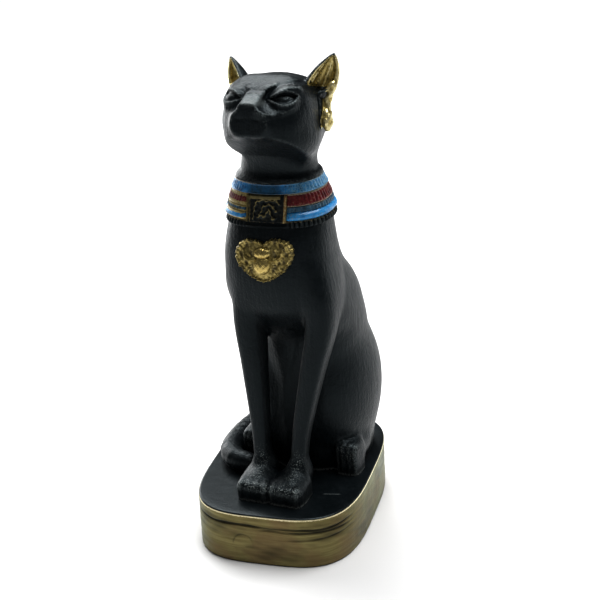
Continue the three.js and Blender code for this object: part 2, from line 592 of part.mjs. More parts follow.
// Collapses the edges that shape the surface least until the wanted number of faces is left.
function thinOut({ points, faces }, wanted) {
  const vertexCount = points.length / 3;
  const at = Float64Array.from(points);
  const around = Array.from({ length: vertexCount }, () => new Set());
  const quadrics = new Float64Array(vertexCount * 10);
  const version = new Int32Array(vertexCount);
  const live = new Uint8Array(faces.length / 3).fill(1);
  const corner = Int32Array.from(faces);
  const point = (v) => new THREE.Vector3(at[3 * v], at[3 * v + 1], at[3 * v + 2]);
  const normalOf = (a, b, c) => b.clone().sub(a).cross(c.clone().sub(a));

  for (let f = 0; f < live.length; f += 1) {
    const [a, b, c] = corner.subarray(3 * f, 3 * f + 3);
    const n = normalOf(point(a), point(b), point(c));
    const area = n.length();
    n.multiplyScalar(1 / Math.max(area, 1e-12));
    const offset = -n.dot(point(a));
    const p = [n.x, n.y, n.z, offset];
    for (const v of [a, b, c]) {
      around[v].add(f);
      let slot = v * 10;
      for (let i = 0; i < 4; i += 1)
        for (let j = i; j < 4; j += 1) quadrics[slot++] += p[i] * p[j] * area;
    }
  }

  const harm = (q, x, y, z) =>
    q[0] * x * x + 2 * q[1] * x * y + 2 * q[2] * x * z + 2 * q[3] * x + q[4] * y * y +
    2 * q[5] * y * z + 2 * q[6] * y + q[7] * z * z + 2 * q[8] * z + q[9];

  // The best place for the vertex that replaces an edge, and its harm.
  function best(a, b) {
    const q = new Float64Array(10);
    for (let i = 0; i < 10; i += 1) q[i] = quadrics[a * 10 + i] + quadrics[b * 10 + i];
    const middle = point(a).add(point(b)).multiplyScalar(0.5);
    const matrix = new THREE.Matrix3().set(q[0], q[1], q[2], q[1], q[4], q[5], q[2], q[5], q[7]);
    const size = q[0] + q[4] + q[7];
    let place = middle;
    if (Math.abs(matrix.determinant()) > 1e-4 * size ** 3) {
      const solved = new THREE.Vector3(-q[3], -q[6], -q[8]).applyMatrix3(matrix.invert());
      if (solved.distanceTo(middle) < 2 * point(a).distanceTo(point(b))) place = solved;
    }
    const length = point(a).distanceToSquared(point(b));
    const cost = Math.max(harm(q, place.x, place.y, place.z), 0) + 1e-5 * length;
    return { a, b, q, place, cost, stamp: version[a] + version[b] };
  }

  const neighbours = (v) => {
    const found = new Set();
    for (const f of around[v])
      for (const w of corner.subarray(3 * f, 3 * f + 3)) if (w !== v) found.add(w);
    return found;
  };

  // True if no face round v, apart from those that vanish, turns over when v moves to the place.
  function keepsFacing(v, other, place) {
    for (const f of around[v]) {
      const ids = [...corner.subarray(3 * f, 3 * f + 3)];
      if (ids.includes(other)) continue;
      const before = normalOf(...ids.map(point));
      const after = normalOf(...ids.map((w) => (w === v ? place : point(w))));
      if (before.dot(after) < 0.25 * before.length() * after.length()) return false;
      if (after.length() < 1e-5) return false;
    }
    return true;
  }

  const heap = new Heap();
  for (let v = 0; v < vertexCount; v += 1)
    for (const w of neighbours(v)) if (w > v) heap.push(best(v, w));

  let left = live.length;
  while (left > wanted && heap.items.length) {
    const edge = heap.pop();
    const { a, b, place } = edge;
    if (!around[a].size || !around[b].size || edge.stamp !== version[a] + version[b]) continue;
    const nearA = neighbours(a);
    const nearB = neighbours(b);
    const shared = [...nearA].filter((v) => nearB.has(v));
    if (shared.length !== 2 || !nearA.has(b)) continue;
    if (!keepsFacing(a, b, place) || !keepsFacing(b, a, place)) continue;
    for (const f of [...around[b]]) {
      const ids = corner.subarray(3 * f, 3 * f + 3);
      if (ids.includes(a)) {
        live[f] = 0;
        left -= 1;
        for (const v of ids) around[v].delete(f);
      } else {
        ids[ids.indexOf(b)] = a;
        around[a].add(f);
      }
    }
    around[b].clear();
    place.toArray(at, 3 * a);
    quadrics.set(edge.q, a * 10);
    version[a] += 1;
    version[b] += 1;
    for (const v of neighbours(a)) heap.push(best(a, v));
  }

  const kept = [];
  for (let f = 0; f < live.length; f += 1) if (live[f]) kept.push(...corner.subarray(3 * f, 3 * f + 3));
  const geometry = new THREE.BufferGeometry();
  geometry.setAttribute("position", new THREE.BufferAttribute(Float32Array.from(at), 3));
  geometry.setIndex(kept);
  return geometry;
}

function catGeometry() {
  const lattice = sampleLattice();
  mendLattice(lattice);
  const geometry = thinOut(surfaceOf(lattice), FACES_KEPT);
  geometry.scale(UNIT, UNIT, UNIT);
  geometry.translate(FIGURE_OFFSET, 0, 0);
  geometry.rotateZ(radians(FIGURE_TURN));
  geometry.translate(0, 0, BASE_HEIGHT);
  return geometry;
}

// The base's outline, drawn in by an inset.
function baseOutline(inset) {
  const steps = 72;
  const ring = [];
  const bent = (v) => Math.sign(v) * Math.abs(v) ** (2 / BASE_SQUARENESS);
  for (let i = 0; i < steps; i += 1) {
    const angle = ((i + 0.5) / steps) * 2 * Math.PI;
    const skewed = angle - 0.22 * Math.sin(4 * angle);
    const x = bent(Math.cos(skewed)) * (BASE_WIDTH / 2 - inset);
    const y = bent(Math.sin(skewed)) * (BASE_LENGTH / 2 - inset);
    ring.push([x, y]);
  }
  return ring;
}

function baseGeometry() {
  const levels = [
    [0, BASE_EDGE * 0.6],
    [BASE_EDGE * 0.6, 0],
    [BASE_HEIGHT - BASE_EDGE, 0],
    [BASE_HEIGHT - BASE_EDGE * 0.3, BASE_EDGE * 0.3],
    [BASE_HEIGHT, BASE_EDGE],
  ];
  const rings = levels.map(([z, inset]) => baseOutline(inset).map(([x, y]) => [x, y, z]));
  const size = rings[0].length;
  const points = [...rings.flat(), [0, 0, 0], [0, 0, BASE_HEIGHT]];
  const foot = size * levels.length;
  const faces = [];
  for (let i = 0; i < size; i += 1) {
    const next = (i + 1) % size;
    faces.push(foot, next, i);
    faces.push(foot + 1, (levels.length - 1) * size + i, (levels.length - 1) * size + next);
    for (let level = 0; level + 1 < levels.length; level += 1) {
      const a = level * size;
      const b = a + size;
      faces.push(a + i, a + next, b + next, a + i, b + next, b + i);
    }
  }
  const geometry = new THREE.BufferGeometry();
  geometry.setAttribute("position", new THREE.Float32BufferAttribute(points.flat(), 3));
  geometry.setIndex(faces);
  return geometry;
}

const wasm = await Module();
wasm.setup();

function solidOf(geometry) {
  const merged = mergeVertices(geometry, 1e-4);
  return new wasm.Manifold(
    new wasm.Mesh({
      numProp: 3,
      vertProperties: merged.getAttribute("position").array,
      triVerts: new Uint32Array(merged.index.array),
    }),
  );
}

function geometryOf(solid) {
  const mesh = solid.getMesh();
  const geometry = new THREE.BufferGeometry();
  geometry.setAttribute("position", new THREE.BufferAttribute(mesh.vertProperties, 3));
  geometry.setIndex(new THREE.BufferAttribute(mesh.triVerts, 1));
  geometry.computeVertexNormals();
  return geometry;
}

const casting = new THREE.Mesh(
  geometryOf(solidOf(baseGeometry()).add(solidOf(catGeometry()))),
  new THREE.MeshStandardMaterial({ color: 0x1d2124, roughness: 0.55, metalness: 0 }),
);
casting.name = "cat_figure_on_base";

const figure = new THREE.Group();
figure.add(casting);

export default figure;
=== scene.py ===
"""A small painted resin cat goddess on an oblong base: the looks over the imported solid.

Lengths here are in hundredths of the cat's height (UNIT millimetres each), measured from the base's
top, in the cat's own frame: +Z up, the cat looks along -Y and its left side is +X. to_part() brings
such points into the part's frame, in millimetres.
"""
import math

import bpy
import numpy as np
from mathutils import Matrix


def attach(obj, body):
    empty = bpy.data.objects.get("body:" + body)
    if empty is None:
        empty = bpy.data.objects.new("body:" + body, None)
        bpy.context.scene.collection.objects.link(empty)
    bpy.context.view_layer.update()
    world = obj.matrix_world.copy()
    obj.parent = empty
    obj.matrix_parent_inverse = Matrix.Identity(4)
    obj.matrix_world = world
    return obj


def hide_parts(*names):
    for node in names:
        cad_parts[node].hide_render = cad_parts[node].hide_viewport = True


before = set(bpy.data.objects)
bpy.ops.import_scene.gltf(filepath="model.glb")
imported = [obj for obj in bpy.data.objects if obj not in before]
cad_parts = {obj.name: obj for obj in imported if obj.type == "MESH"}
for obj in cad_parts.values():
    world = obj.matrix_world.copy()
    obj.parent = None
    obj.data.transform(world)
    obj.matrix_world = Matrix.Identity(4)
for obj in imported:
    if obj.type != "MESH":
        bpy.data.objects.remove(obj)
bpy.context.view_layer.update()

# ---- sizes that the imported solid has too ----
BASE_WIDTH, BASE_LENGTH, BASE_HEIGHT = 42.8, 58.8, 13.7
BASE_SQUARENESS = 3.5
BASE_EDGE = 0.6
UNIT = 1.075
FIGURE_TURN = -7  # degrees
FIGURE_OFFSET, FIGURE_SINK = 3.0, 1.5  # mm
HEAD_AT = (0.6, -7.4, 90.0)
HEAD_NOD, HEAD_TURN, HEAD_TILT = 16, 2, 1  # degrees
NECK_TOP = 86

# height, sideways shift, front, back, half width, squareness of the torso's and neck's section
TORSO = np.array([
    (-4, 0.4, -3.5, 22.5, 12.5, 2.2),
    (8, 0.4, -4.3, 24.2, 13.2, 2.2),
    (20, 0.4, -5.0, 23.4, 13.6, 2.3),
    (30, 0.3, -5.6, 20.3, 13.3, 2.4),
    (36, 0.1, -6.6, 18.6, 13.6, 2.4),
    (40.5, -0.4, -10.6, 17.4, 14.0, 2.5),
    (44.5, -0.8, -13.4, 16.1, 14.0, 2.6),
    (48.5, -1.2, -14.4, 13.3, 13.7, 2.7),
    (53, -1.3, -14.8, 8.9, 12.9, 2.7),
    (57.5, -1.3, -14.4, 6.3, 12.6, 2.6),
    (62, -1.2, -13.4, 5.3, 12.1, 2.5),
    (66, -1.1, -12.1, 4.8, 11.5, 2.4),
    (70, -1.1, -11.2, 4.3, 10.5, 2.3),
    (74, -1.2, -10.4, 3.7, 9.2, 2.2),
    (78, -1.1, -9.9, 3.3, 8.6, 2.1),
    (83, -0.6, -9.6, 3.6, 8.6, 2.0),
    (89, 0, -9.0, 4.0, 8.2, 2.0),
])
# height, middle across, middle in depth, half width, half depth, squareness of a front leg's section
LEG = np.array([
    (-3, 4.5, -12.6, 2.2, 2.2, 2.4),
    (5, 4.5, -12.6, 2.15, 2.3, 2.6),
    (9, 4.7, -12.5, 1.9, 2.2, 3.0),
    (14, 5.1, -12.1, 1.95, 2.3, 3.0),
    (20, 5.8, -11.5, 2.25, 2.6, 3.0),
    (30, 7.2, -10.6, 2.75, 3.2, 3.0),
    (41, 8.7, -9.0, 3.5, 4.3, 2.8),
    (49, 7.9, -6.8, 4.2, 6.4, 2.6),
    (58, 5.4, -5.0, 4.2, 6.6, 2.4),
])
# the tail's middle line and radius, from the rump round the cat's right side
TAIL = [
    (1, 22.3, 4.4, 3.8),
    (-7.5, 22.8, 3.7, 3.3),
    (-14.4, 18.2, 3.1, 3.0),
    (-17.6, 10.5, 2.8, 2.8),
    (-18.4, 2.5, 2.7, 2.7),
    (-17.6, -4.0, 2.6, 2.6),
    (-14.6, -7.9, 2.6, 2.5),
    (-10.8, -8.6, 2.5, 2.3),
]

# ---- the collar and the pendant ----
COLLAR_FOOT, COLLAR_TILT, COLLAR_ROLL = 64.6, 0.03, 0.035
FRINGE, TUBE, REEDS, RED, BLUE = (-0.5, 1.25), (1.1, 3.15), (2.9, 4.3), (4.1, 6.95), (6.8, 9.2)
PLATE_HALF, PLATE_LOW, PLATE_HIGH = 4.7, 0.75, 6.7
PENDANT_AT = (0.0, 57.3)
COLLAR_HINGE = 12  # the collar's leaning starts this far in front of the cat's middle
FRONT_ANGLE = 1.2  # the front of the neck reaches this many radians to each side
BURIED, PLATE_BACK = -0.9, -1.1  # hidden walls, within the neck
NECK_REACH = 10.6  # the collar's mean radius

# ---- helpers ----


def mix(a, b, t):
    return a + (b - a) * t


def ramp(low, high, v):
    """0 below low, 1 above high, and a smooth S between them; low may be the larger."""
    t = np.clip((v - low) / (high - low), 0, 1)
    return t * t * (3 - 2 * t)


def bell(v, width):
    """1 at zero, falling off on both sides like a bell."""
    return np.exp(-((v / width) ** 2))


def arc(v):
    """The height of a half circle of radius 1 at v, and 0 beyond it."""
    return np.sqrt(np.clip(1 - v * v, 0, 1))


def blend(a, b, k):
    """The lower of two distances, with the valley between them filled over a width of k."""
    h = np.maximum(k - np.abs(a - b), 0) / k
    return np.minimum(a, b) - h * h * k / 4


def carve(a, b, k):
    """The part of a that lies within -b, with the new edge rounded."""
    return -blend(-a, b, k)


def ellipsoid(p, at, size):
    """Distance to an ellipsoid: the scaled radius less one, over its slope."""
    q = [(c - a) / s for c, a, s in zip(p, at, size)]
    near = np.sqrt(q[0] ** 2 + q[1] ** 2 + q[2] ** 2)
    slope = np.sqrt(sum((c / s) ** 2 for c, s in zip(q, size)))
    return near * (near - 1) / np.maximum(slope, 1e-9)


def limb(p, a, b, ra, rb):
    """Distance to a bar between two points whose radius changes on the way."""
    line = [e - s for s, e in zip(a, b)]
    d = [c - s for c, s in zip(p, a)]
    t = np.clip(sum(u * v for u, v in zip(d, line)) / sum(v * v for v in line), 0, 1)
    return np.sqrt(sum((u - v * t) ** 2 for u, v in zip(d, line))) - mix(ra, rb, t)


def chain(p, line, k):
    """Limbs through the listed points, blended."""
    d = limb(p, line[0][:3], line[1][:3], line[0][3], line[1][3])
    for a, b in zip(line[1:], line[2:]):
        d = blend(d, limb(p, a[:3], b[:3], a[3], b[3]), k)
    return d


def block(p, at, half, r, pitch=0):
    """Distance to a rounded box that is pitched about the X axis."""
    x, y, z = (c - a for c, a in zip(p, at))
    c, s = math.cos(math.radians(pitch)), math.sin(math.radians(pitch))
    past = [np.abs(v) - h + r for v, h in zip((x, y * c + z * s, z * c - y * s), half)]
    out = np.sqrt(sum(np.maximum(v, 0) ** 2 for v in past))
    return out + np.minimum(np.maximum(np.maximum(past[0], past[1]), past[2]), 0) - r


def plane(p, at, normal):
    """Height over a plane through a point."""
    size = math.sqrt(sum(n * n for n in normal))
    return sum((c - a) * n / size for c, a, n in zip(p, at, normal))


def oval(x, y, half_x, half_y, square):
    """Distance to an upright prism with a superelliptic section."""
    near = (np.abs(x / half_x) ** square + np.abs(y / half_y) ** square) ** (1 / square)
    return (near - 1) * np.minimum(half_x, half_y)


def stations(table, z):
    """The columns of a table at heights z, each on a smooth curve through the listed values."""
    level, value = table[:, 0], table[:, 1:]
    slope = np.empty_like(value)
    slope[1:-1] = (value[2:] - value[:-2]) / (level[2:] - level[:-2])[:, None]
    slope[0] = (value[1] - value[0]) / (level[1] - level[0])
    slope[-1] = (value[-1] - value[-2]) / (level[-1] - level[-2])
    z = np.clip(z, level[0], level[-1] - 1e-6)
    i = np.clip(np.searchsorted(level, z, side="right") - 1, 0, len(level) - 2)
    span = (level[i + 1] - level[i])[..., None]
    t = ((z - level[i]) / span[..., 0])[..., None]
    found = (2 * t**3 - 3 * t**2 + 1) * value[i] + (t**3 - 2 * t**2 + t) * slope[i] * span
    found += (3 * t**2 - 2 * t**3) * value[i + 1] + (t**3 - t**2) * slope[i + 1] * span
    return np.moveaxis(found, -1, 0)


def section(z):
    """The torso at heights z: sideways shift, middle and half of its depth, half width, squareness."""
    shift, front, back, half, square = stations(TORSO, z)
    return shift, (front + back) / 2, (back - front) / 2, half, square


def collar_level(up, y, chest):
    """Height of a point that lies up over the collar's foot; the collar leans with the neck."""
    return COLLAR_FOOT + up + COLLAR_TILT * (y + COLLAR_HINGE) + COLLAR_ROLL * chest


# ---- the cat's form ----


def torso(p):
    """The torso and neck, with the ridge on the web between the front legs."""
    x, y, z = p
    shift, centre, depth, half, square = section(z)
    d = oval(x - shift, y - centre, half, depth, square)
    middle = mix(-2.2, -0.9, ramp(14, 36, z))
    width = mix(0.7, 3.2, ramp(22, 36.5, z))
    ridge = 0.5 * ramp(-2.6, 0.6, width + x - middle) * ramp(-1.0, 1.0, width - x + middle)
    ridge = ridge * ramp(38.5, 36.5, z)
    # two faint folds in the skin under the jaw
    folds = 0.3 * bell(z - 80.2 - 0.05 * x, 0.6) * ramp(-2, -5, y)
    # the casting swells over the collar's upper edge
    up = z - collar_level(0, y, x - shift)
    lip = 0.6 * ramp(8.2, 9.2, up) * ramp(11, 9.6, up)
    return carve(d - np.where(y < 0, ridge, 0) + folds - lip, NECK_TOP - z, 4)


def paw(p, at, half, toe, pitch):
    """A square paw whose four toes are parted by grooves over its top and front."""
    x, y, z = p
    parting = 1 - np.abs(np.sin(math.pi * (x - at[0]) / toe)) ** 0.7
    in_front = ramp(at[1] - 0.2 * half[1], at[1] - 0.6 * half[1], y)
    return block(p, at, half, 1.8, pitch) + 0.26 * parting * in_front


def front_leg(p):
    """A front leg on the +X side: an upright shaft by its stations, with a paw."""
    x, y, z = p
    middle, depth, half_x, half_y, square = stations(LEG, z)
    shaft = carve(oval(x - middle, y - depth, half_x, half_y, square), LEG[-1, 0] - 1 - z, 2.5)
    instep = limb(p, (4.3, -12.4, 4.6), (4.0, -17.2, 2.6), 3.0, 3.3)
    foot = blend(instep, paw(p, (3.98, -17.6, 1.9), (4.3, 4.4, 3.2), 2.0, 8), 1.0)
    return blend(shaft, foot, 2.0)


def haunch(p):
    """A haunch on the +X side with its hind paw."""
    d = ellipsoid(p, (6.4, 9.0, 18.3), (9.5, 14.4, 18.8))
    heel = limb(p, (10.6, 6, 4.5), (11.5, 0.8, 4.6), 4.1, 3.5)
    foot = blend(heel, paw(p, (12.1, -0.4, 3.4), (2.9, 3.3, 4.9), 1.45, 4), 1.0)
    return blend(d, foot, 2.0)


def smooth_path(knots, steps):
    """More points on a smooth curve through the listed ones."""
    table = np.array([(n, *k) for n, k in enumerate(knots)], float)
    found = stations(table, np.linspace(0, len(knots) - 1, steps * (len(knots) - 1) + 1))
    return [tuple(float(v) for v in row) for row in found.T]


TAIL_PATH = smooth_path(TAIL, 3)


def tail(p):
    """The tail, faintly ringed towards its tip."""
    x, y, z = p
    rings = np.sin(np.arctan2(y - 6, -x - 6) * 36) * ramp(10, 0, y)
    return chain(p, TAIL_PATH, 0.5) - 0.035 * rings


EAR_FOOT, EAR_TIP = (9.0, 0.5, 3.0), (12.2, 1.2, 11.2)
EAR_TURN, EAR_RADIUS = 52, 3.7
EAR_LEAN = 0.055  # the left ear stands higher than the right one
STRIP = [(11.8, 2.3, 4.4, 1.0), (10.9, 2.4, 1.2, 0.72), (10.85, 2.2, -1.4, 0.8)]
LOBE = ((11.3, 2.1, -3.1), (1.15, 1.5, 2.2))


def ear_parts(p):
    """Height share, place across and out of the ear's mouth, radius and distance from its axis."""
    x, y, z = p
    share = (z - EAR_FOOT[2]) / (EAR_TIP[2] - EAR_FOOT[2])
    h = np.clip(share, 0, 1)
    px, py = (c - mix(a, b, h) for c, a, b in zip((x, y), EAR_FOOT, EAR_TIP))
    c, s = math.cos(math.radians(EAR_TURN)), math.sin(math.radians(EAR_TURN))
    across, out = px * s + py * c, px * c - py * s
    radius = EAR_RADIUS * (1 - h**1.6) * (0.9 + 0.45 * h) + 0.3
    radius = radius * ramp(-0.2, 0.22, share) + 1e-6
    return share, h, across, out, radius, np.hypot(across, out * 1.15)


def ear_mouth(out, radius):
    """Depth in front of the plane that cuts the ear open."""
    return out - 0.12 * radius - 0.25


def ear(p):
    """A cup that opens forwards and outwards, with two folds inside, and a strip down to a lobe."""
    x, y, z = p
    share, h, across, out, radius, near = ear_parts(p)
    folds = 0.6 * (bell(across / radius + 0.42, 0.09) + bell(across / radius - 0.3, 0.09))
    folds = folds * (near < radius) * ramp(0.95, 0.6, h)
    shell = np.maximum(near - radius, radius - near - folds - mix(1.15, 0.55, h))
    ends = np.maximum(share - 1, -share - 0.2) * (EAR_TIP[2] - EAR_FOOT[2])
    body = np.maximum(np.maximum(shell, ear_mouth(out, radius)), ends)
    uneven = 0.14 * np.sin(2.6 * z + 1) * np.cos(2.2 * y + 2.6 * x)
    return blend(blend(body, chain(p, STRIP, 0.4) + uneven, 0.5), ellipsoid(p, *LOBE) + uneven, 0.9)


FACE_LEAN = 0.03  # the face is set a little towards the cat's right
NOSE_SHIFT = 0.35  # and the nose and muzzle some more
EYE_AT = (6.2, -9.4, 1.3)
EYE_ALONG = np.array([4.8, 4.0, 0.5]) / math.sqrt(39.29)
EYE_OUT = np.cross(EYE_ALONG, (0, 0, 1)) / math.hypot(*EYE_ALONG[:2])
EYE_UP = np.cross(EYE_OUT, EYE_ALONG)
EYE_MIDDLE, EYE_HALF = 0.4, 3.1
# lines round the eye, in its own plane: along and up
BROW_GROOVE = [(-3.0, 0.0), (-2.4, 1.3), (-1.1, 2.3), (0.4, 3.1), (2.4, 3.5), (5.2, 3.7)]
BROW_LIP = [(-3.7, 1.2), (-2.6, 2.4), (-0.9, 3.2)]
BROW_RIDGE = [(-1.9, 0.9), (-0.8, 1.9), (1.2, 2.5), (4.0, 2.3)]
CHEEK_EDGE = [(-5.6, -2.3), (-4.5, -2.9), (-2.6, -3.1), (-0.2, -2.7), (2.0, -1.6), (3.6, 0)]


def trace(u, v, line, width):
    """1 on a line through the listed points, falling off over a width."""
    away = limb((u, v), line[0], line[1], 0, 0)
    for a, b in zip(line[1:], line[2:]):
        away = np.minimum(away, limb((u, v), a, b, 0, 0))
    return bell(away, width)


def eye_relief(p, brow):
    """Lids round a slanting almond, an eyeball sunk between them, a groove that sweeps over the brow, and
    the edge of the cheek under the eye."""
    d = [c - a for c, a in zip(p, EYE_AT)]
    u, v, w = (sum(c * e for c, e in zip(d, axis)) for axis in (EYE_ALONG, EYE_UP, EYE_OUT))
    t = np.clip((u - EYE_MIDDLE) / EYE_HALF, -1.3, 1.3)
    line = 0.52 + 0.3 * t
    upper, lower = line + 1.15 * (1 - t * t), line - 1.6 * (1 - t * t)
    lids = (0.3 * bell(v - upper, 0.36) + 0.4 * bell(v - lower + 0.15, 0.45)) * ramp(1.2, 0.8, np.abs(t))
    lids = lids * ramp(5.5, 0.5, u)
    inside = ramp(0.0, 0.45, np.minimum(upper - v, v - lower))
    ball = arc(np.hypot((u - 0.3) / 2.1, (v + 0.05) / 0.95))
    groove = mix(0.85, 0.22, ramp(-2.8, 0.5, u)) * trace(u, v, BROW_GROOVE, mix(0.75, 0.4, ramp(-3, 1, u)))
    ridges = 0.3 * trace(u, v, BROW_LIP, 0.6) + 0.55 * trace(u, v, BROW_RIDGE, 0.55)
    ridges = ridges + 0.4 * ramp(4.5, 1.0, u) * trace(u, v, CHEEK_EDGE, 0.7)
    opening = (lids + inside * (0.42 * ball - 0.8)) * (0.5 + 0.5 * brow)
    return (opening + (ridges - groove) * brow) * ramp(-5.5, -3.5, w)


def muzzle(p):
    """A broad block under the nose."""
    lower = block(p, (0, -10.6, -4.0), (3.85, 3.0, 1.9), 1.5)
    upper = block(p, (0, -10.8, -2.4), (1.9, 2.8, 2.6), 1.0)
    return blend(lower, upper, 2.6)


def head(p):
    """The head in its own upright frame, its middle at the origin, looking along -Y."""
    x, y, z = p
    side = np.abs(x)
    leant = x - FACE_LEAN * np.minimum(y + 2, 0)
    q, nose = (np.abs(leant), y, z), (np.abs(leant + NOSE_SHIFT), y, z)
    skull = block(q, (0, 1.0, 0), (10.0, 10.8, 6.8), 6.6)
    skull = blend(skull, ellipsoid(q, (0, 2.5, 0.3), (10.0, 10.4, 7.3)), 1.0)
    skull = carve(skull, -plane(q, (0, -6.2, 5.7), (0, -0.62, 0.785)), 0.8)
    jaw = carve(
        ellipsoid(q, (0, -1.0, -5.1), (10.4, 10.9, 8.4)), -plane(q, (0, -12.4, -6.2), (0, -0.34, -0.94)), 0.5
    )
    d = blend(skull, jaw, 2.0)
    d = blend(d, limb(q, (2.2, -10.0, -4.0), (5.6, -6.2, -3.0), 2.3, 3.1), 1.6)
    d = blend(d, ellipsoid(q, (5.0, -7.3, 0.5), (3.4, 2.7, 3.3)), 0.8)
    d = blend(d, muzzle(nose), 2.2)
    d = blend(d, block(nose, (0, -9.9, -1.4), (2.2, 3.2, 3.0), 0.8, 42), 0.6)
    # the muzzle is cut off flat in front
    d = carve(d, -plane(q, (0, -13.15, 0), (0, -0.985, -0.17)), 0.5)
    mouth = limb(nose, (0, -13.2, -3.0), (4.8, -11.6, -3.4), 0, 0)
    d = d + 0.16 * bell(mouth, 0.3) - eye_relief(q, np.where(x < 0, 0.25, 1))
    level = (side, y, z - EAR_LEAN * x)
    d = carve(d, limb(level, (9.9, -0.6, 4.6), (10.0, 0.4, -4.2), 0.5, 0.45), 0.3)
    return blend(d, ear(level), 0.4)


def turn_matrix(nod, tilt, turn):
    """Nods about X, then tilts about Y, then turns about Z."""
    n, l, t = (math.radians(v) for v in (nod, tilt, turn))
    about_x = [[1, 0, 0], [0, math.cos(n), -math.sin(n)], [0, math.sin(n), math.cos(n)]]
    about_y = [[math.cos(l), 0, math.sin(l)], [0, 1, 0], [-math.sin(l), 0, math.cos(l)]]
    about_z = [[math.cos(t), -math.sin(t), 0], [math.sin(t), math.cos(t), 0], [0, 0, 1]]
    return np.array(about_z) @ about_y @ about_x


HEAD_FRAME = turn_matrix(-HEAD_NOD, -HEAD_TILT, -HEAD_TURN)


def in_head(p):
    """Points brought into the head's own frame."""
    d = [c - a for c, a in zip(p, HEAD_AT)]
    return tuple(sum(HEAD_FRAME[j, i] * d[j] for j in range(3)) for i in range(3))


def join(d, p, near, form, k):
    """Blends a form into the distances at the points where the mask holds."""
    at = np.flatnonzero(near)
    if len(at):
        d[at] = blend(d[at], form([c[at] for c in p]), k)


def cat(p):
    """The signed distance to the cat's surface, without its collar and pendant."""
    x, y, z = p
    d = torso(p)
    join(d, (np.abs(x), y, z), z < 50, haunch, 1.6)
    leg = np.abs(x - mix(-0.4, 1.0, ramp(8, 44, z)))
    join(d, (leg, y, z), z < 66, front_leg, 1.2)
    join(d, p, z < 16, tail, 0.6)
    join(d, p, z > 68, lambda q: head(in_head(q)), 3)
    return np.maximum(d, -FIGURE_SINK / UNIT - z)


# ---- from the form to a mesh ----
BLOCK = 6  # lattice points along a block's edge
CHUNKS = 12  # the fine points are worked out in so many parts, to spare memory
SURFACE_PASSES, HALF_CELL, SLOPE_REACH = 2, 0.2, 0.02


def planes(*stretches):
    """The lattice's planes along one axis: stretches of an even step, each a whole number of blocks."""
    parts = []
    for low, high, step in stretches:
        count = math.ceil((high - low) / step / BLOCK) * BLOCK
        parts.append(low + (high - low) * np.arange(count) / count)
    return np.concatenate(parts)


def sample(form, axes):
    """The form on a lattice. Blocks far from its surface keep the value at their middle."""
    cut = [a.reshape(-1, BLOCK) for a in axes]
    middle = np.meshgrid(*[c.mean(1) for c in cut], indexing="ij")
    size = np.meshgrid(*[np.ptp(c, axis=1) for c in cut], indexing="ij")
    rough = form([m.ravel() for m in middle]).reshape(middle[0].shape)
    near = np.abs(rough) < 0.65 * np.sqrt(sum(s * s for s in size)) + 0.6
    at = np.argwhere(near)
    shape = (len(at), BLOCK, BLOCK, BLOCK)
    x = np.broadcast_to(cut[0][at[:, 0]][:, :, None, None], shape).ravel()
    y = np.broadcast_to(cut[1][at[:, 1]][:, None, :, None], shape).ravel()
    z = np.broadcast_to(cut[2][at[:, 2]][:, None, None, :], shape).ravel()
    fine = np.concatenate([form(q) for q in zip(*[np.array_split(c, CHUNKS) for c in (x, y, z)])])
    values = np.empty([n for c in cut for n in c.shape])
    values[:] = rough[:, None, :, None, :, None]
    values[at[:, 0], :, at[:, 1], :, at[:, 2], :] = fine.reshape(shape)
    return values.reshape([len(a) for a in axes])


def window(field, offset, size):
    """The part of a lattice that starts at an offset."""
    return field[tuple(slice(o, o + n) for o, n in zip(offset, size))]


def settle(values):
    """Where a lattice square has its inside corners on one diagonal and its outside ones on the other, the
    corner nearest to the surface changes sides, so that no two walls of the skin share an edge."""
    for axis in (0, 1, 2) * 4:
        along = np.eye(3, dtype=int)[[n for n in range(3) if n != axis]]
        offsets = np.array([0 * along[0], along[0], along[0] + along[1], along[1]])
        end = [count - (n != axis) for n, count in enumerate(values.shape)]
        ring = [window(values, offset, end) < 0 for offset in offsets]
        at = np.argwhere((ring[0] == ring[2]) & (ring[1] == ring[3]) & (ring[0] != ring[1]))
        corners = at[:, None] + offsets
        nearest = np.abs(values[tuple(corners.transpose(2, 0, 1))]).argmin(axis=1)
        values[tuple(corners[np.arange(len(at)), nearest].T)] *= -1
    return values


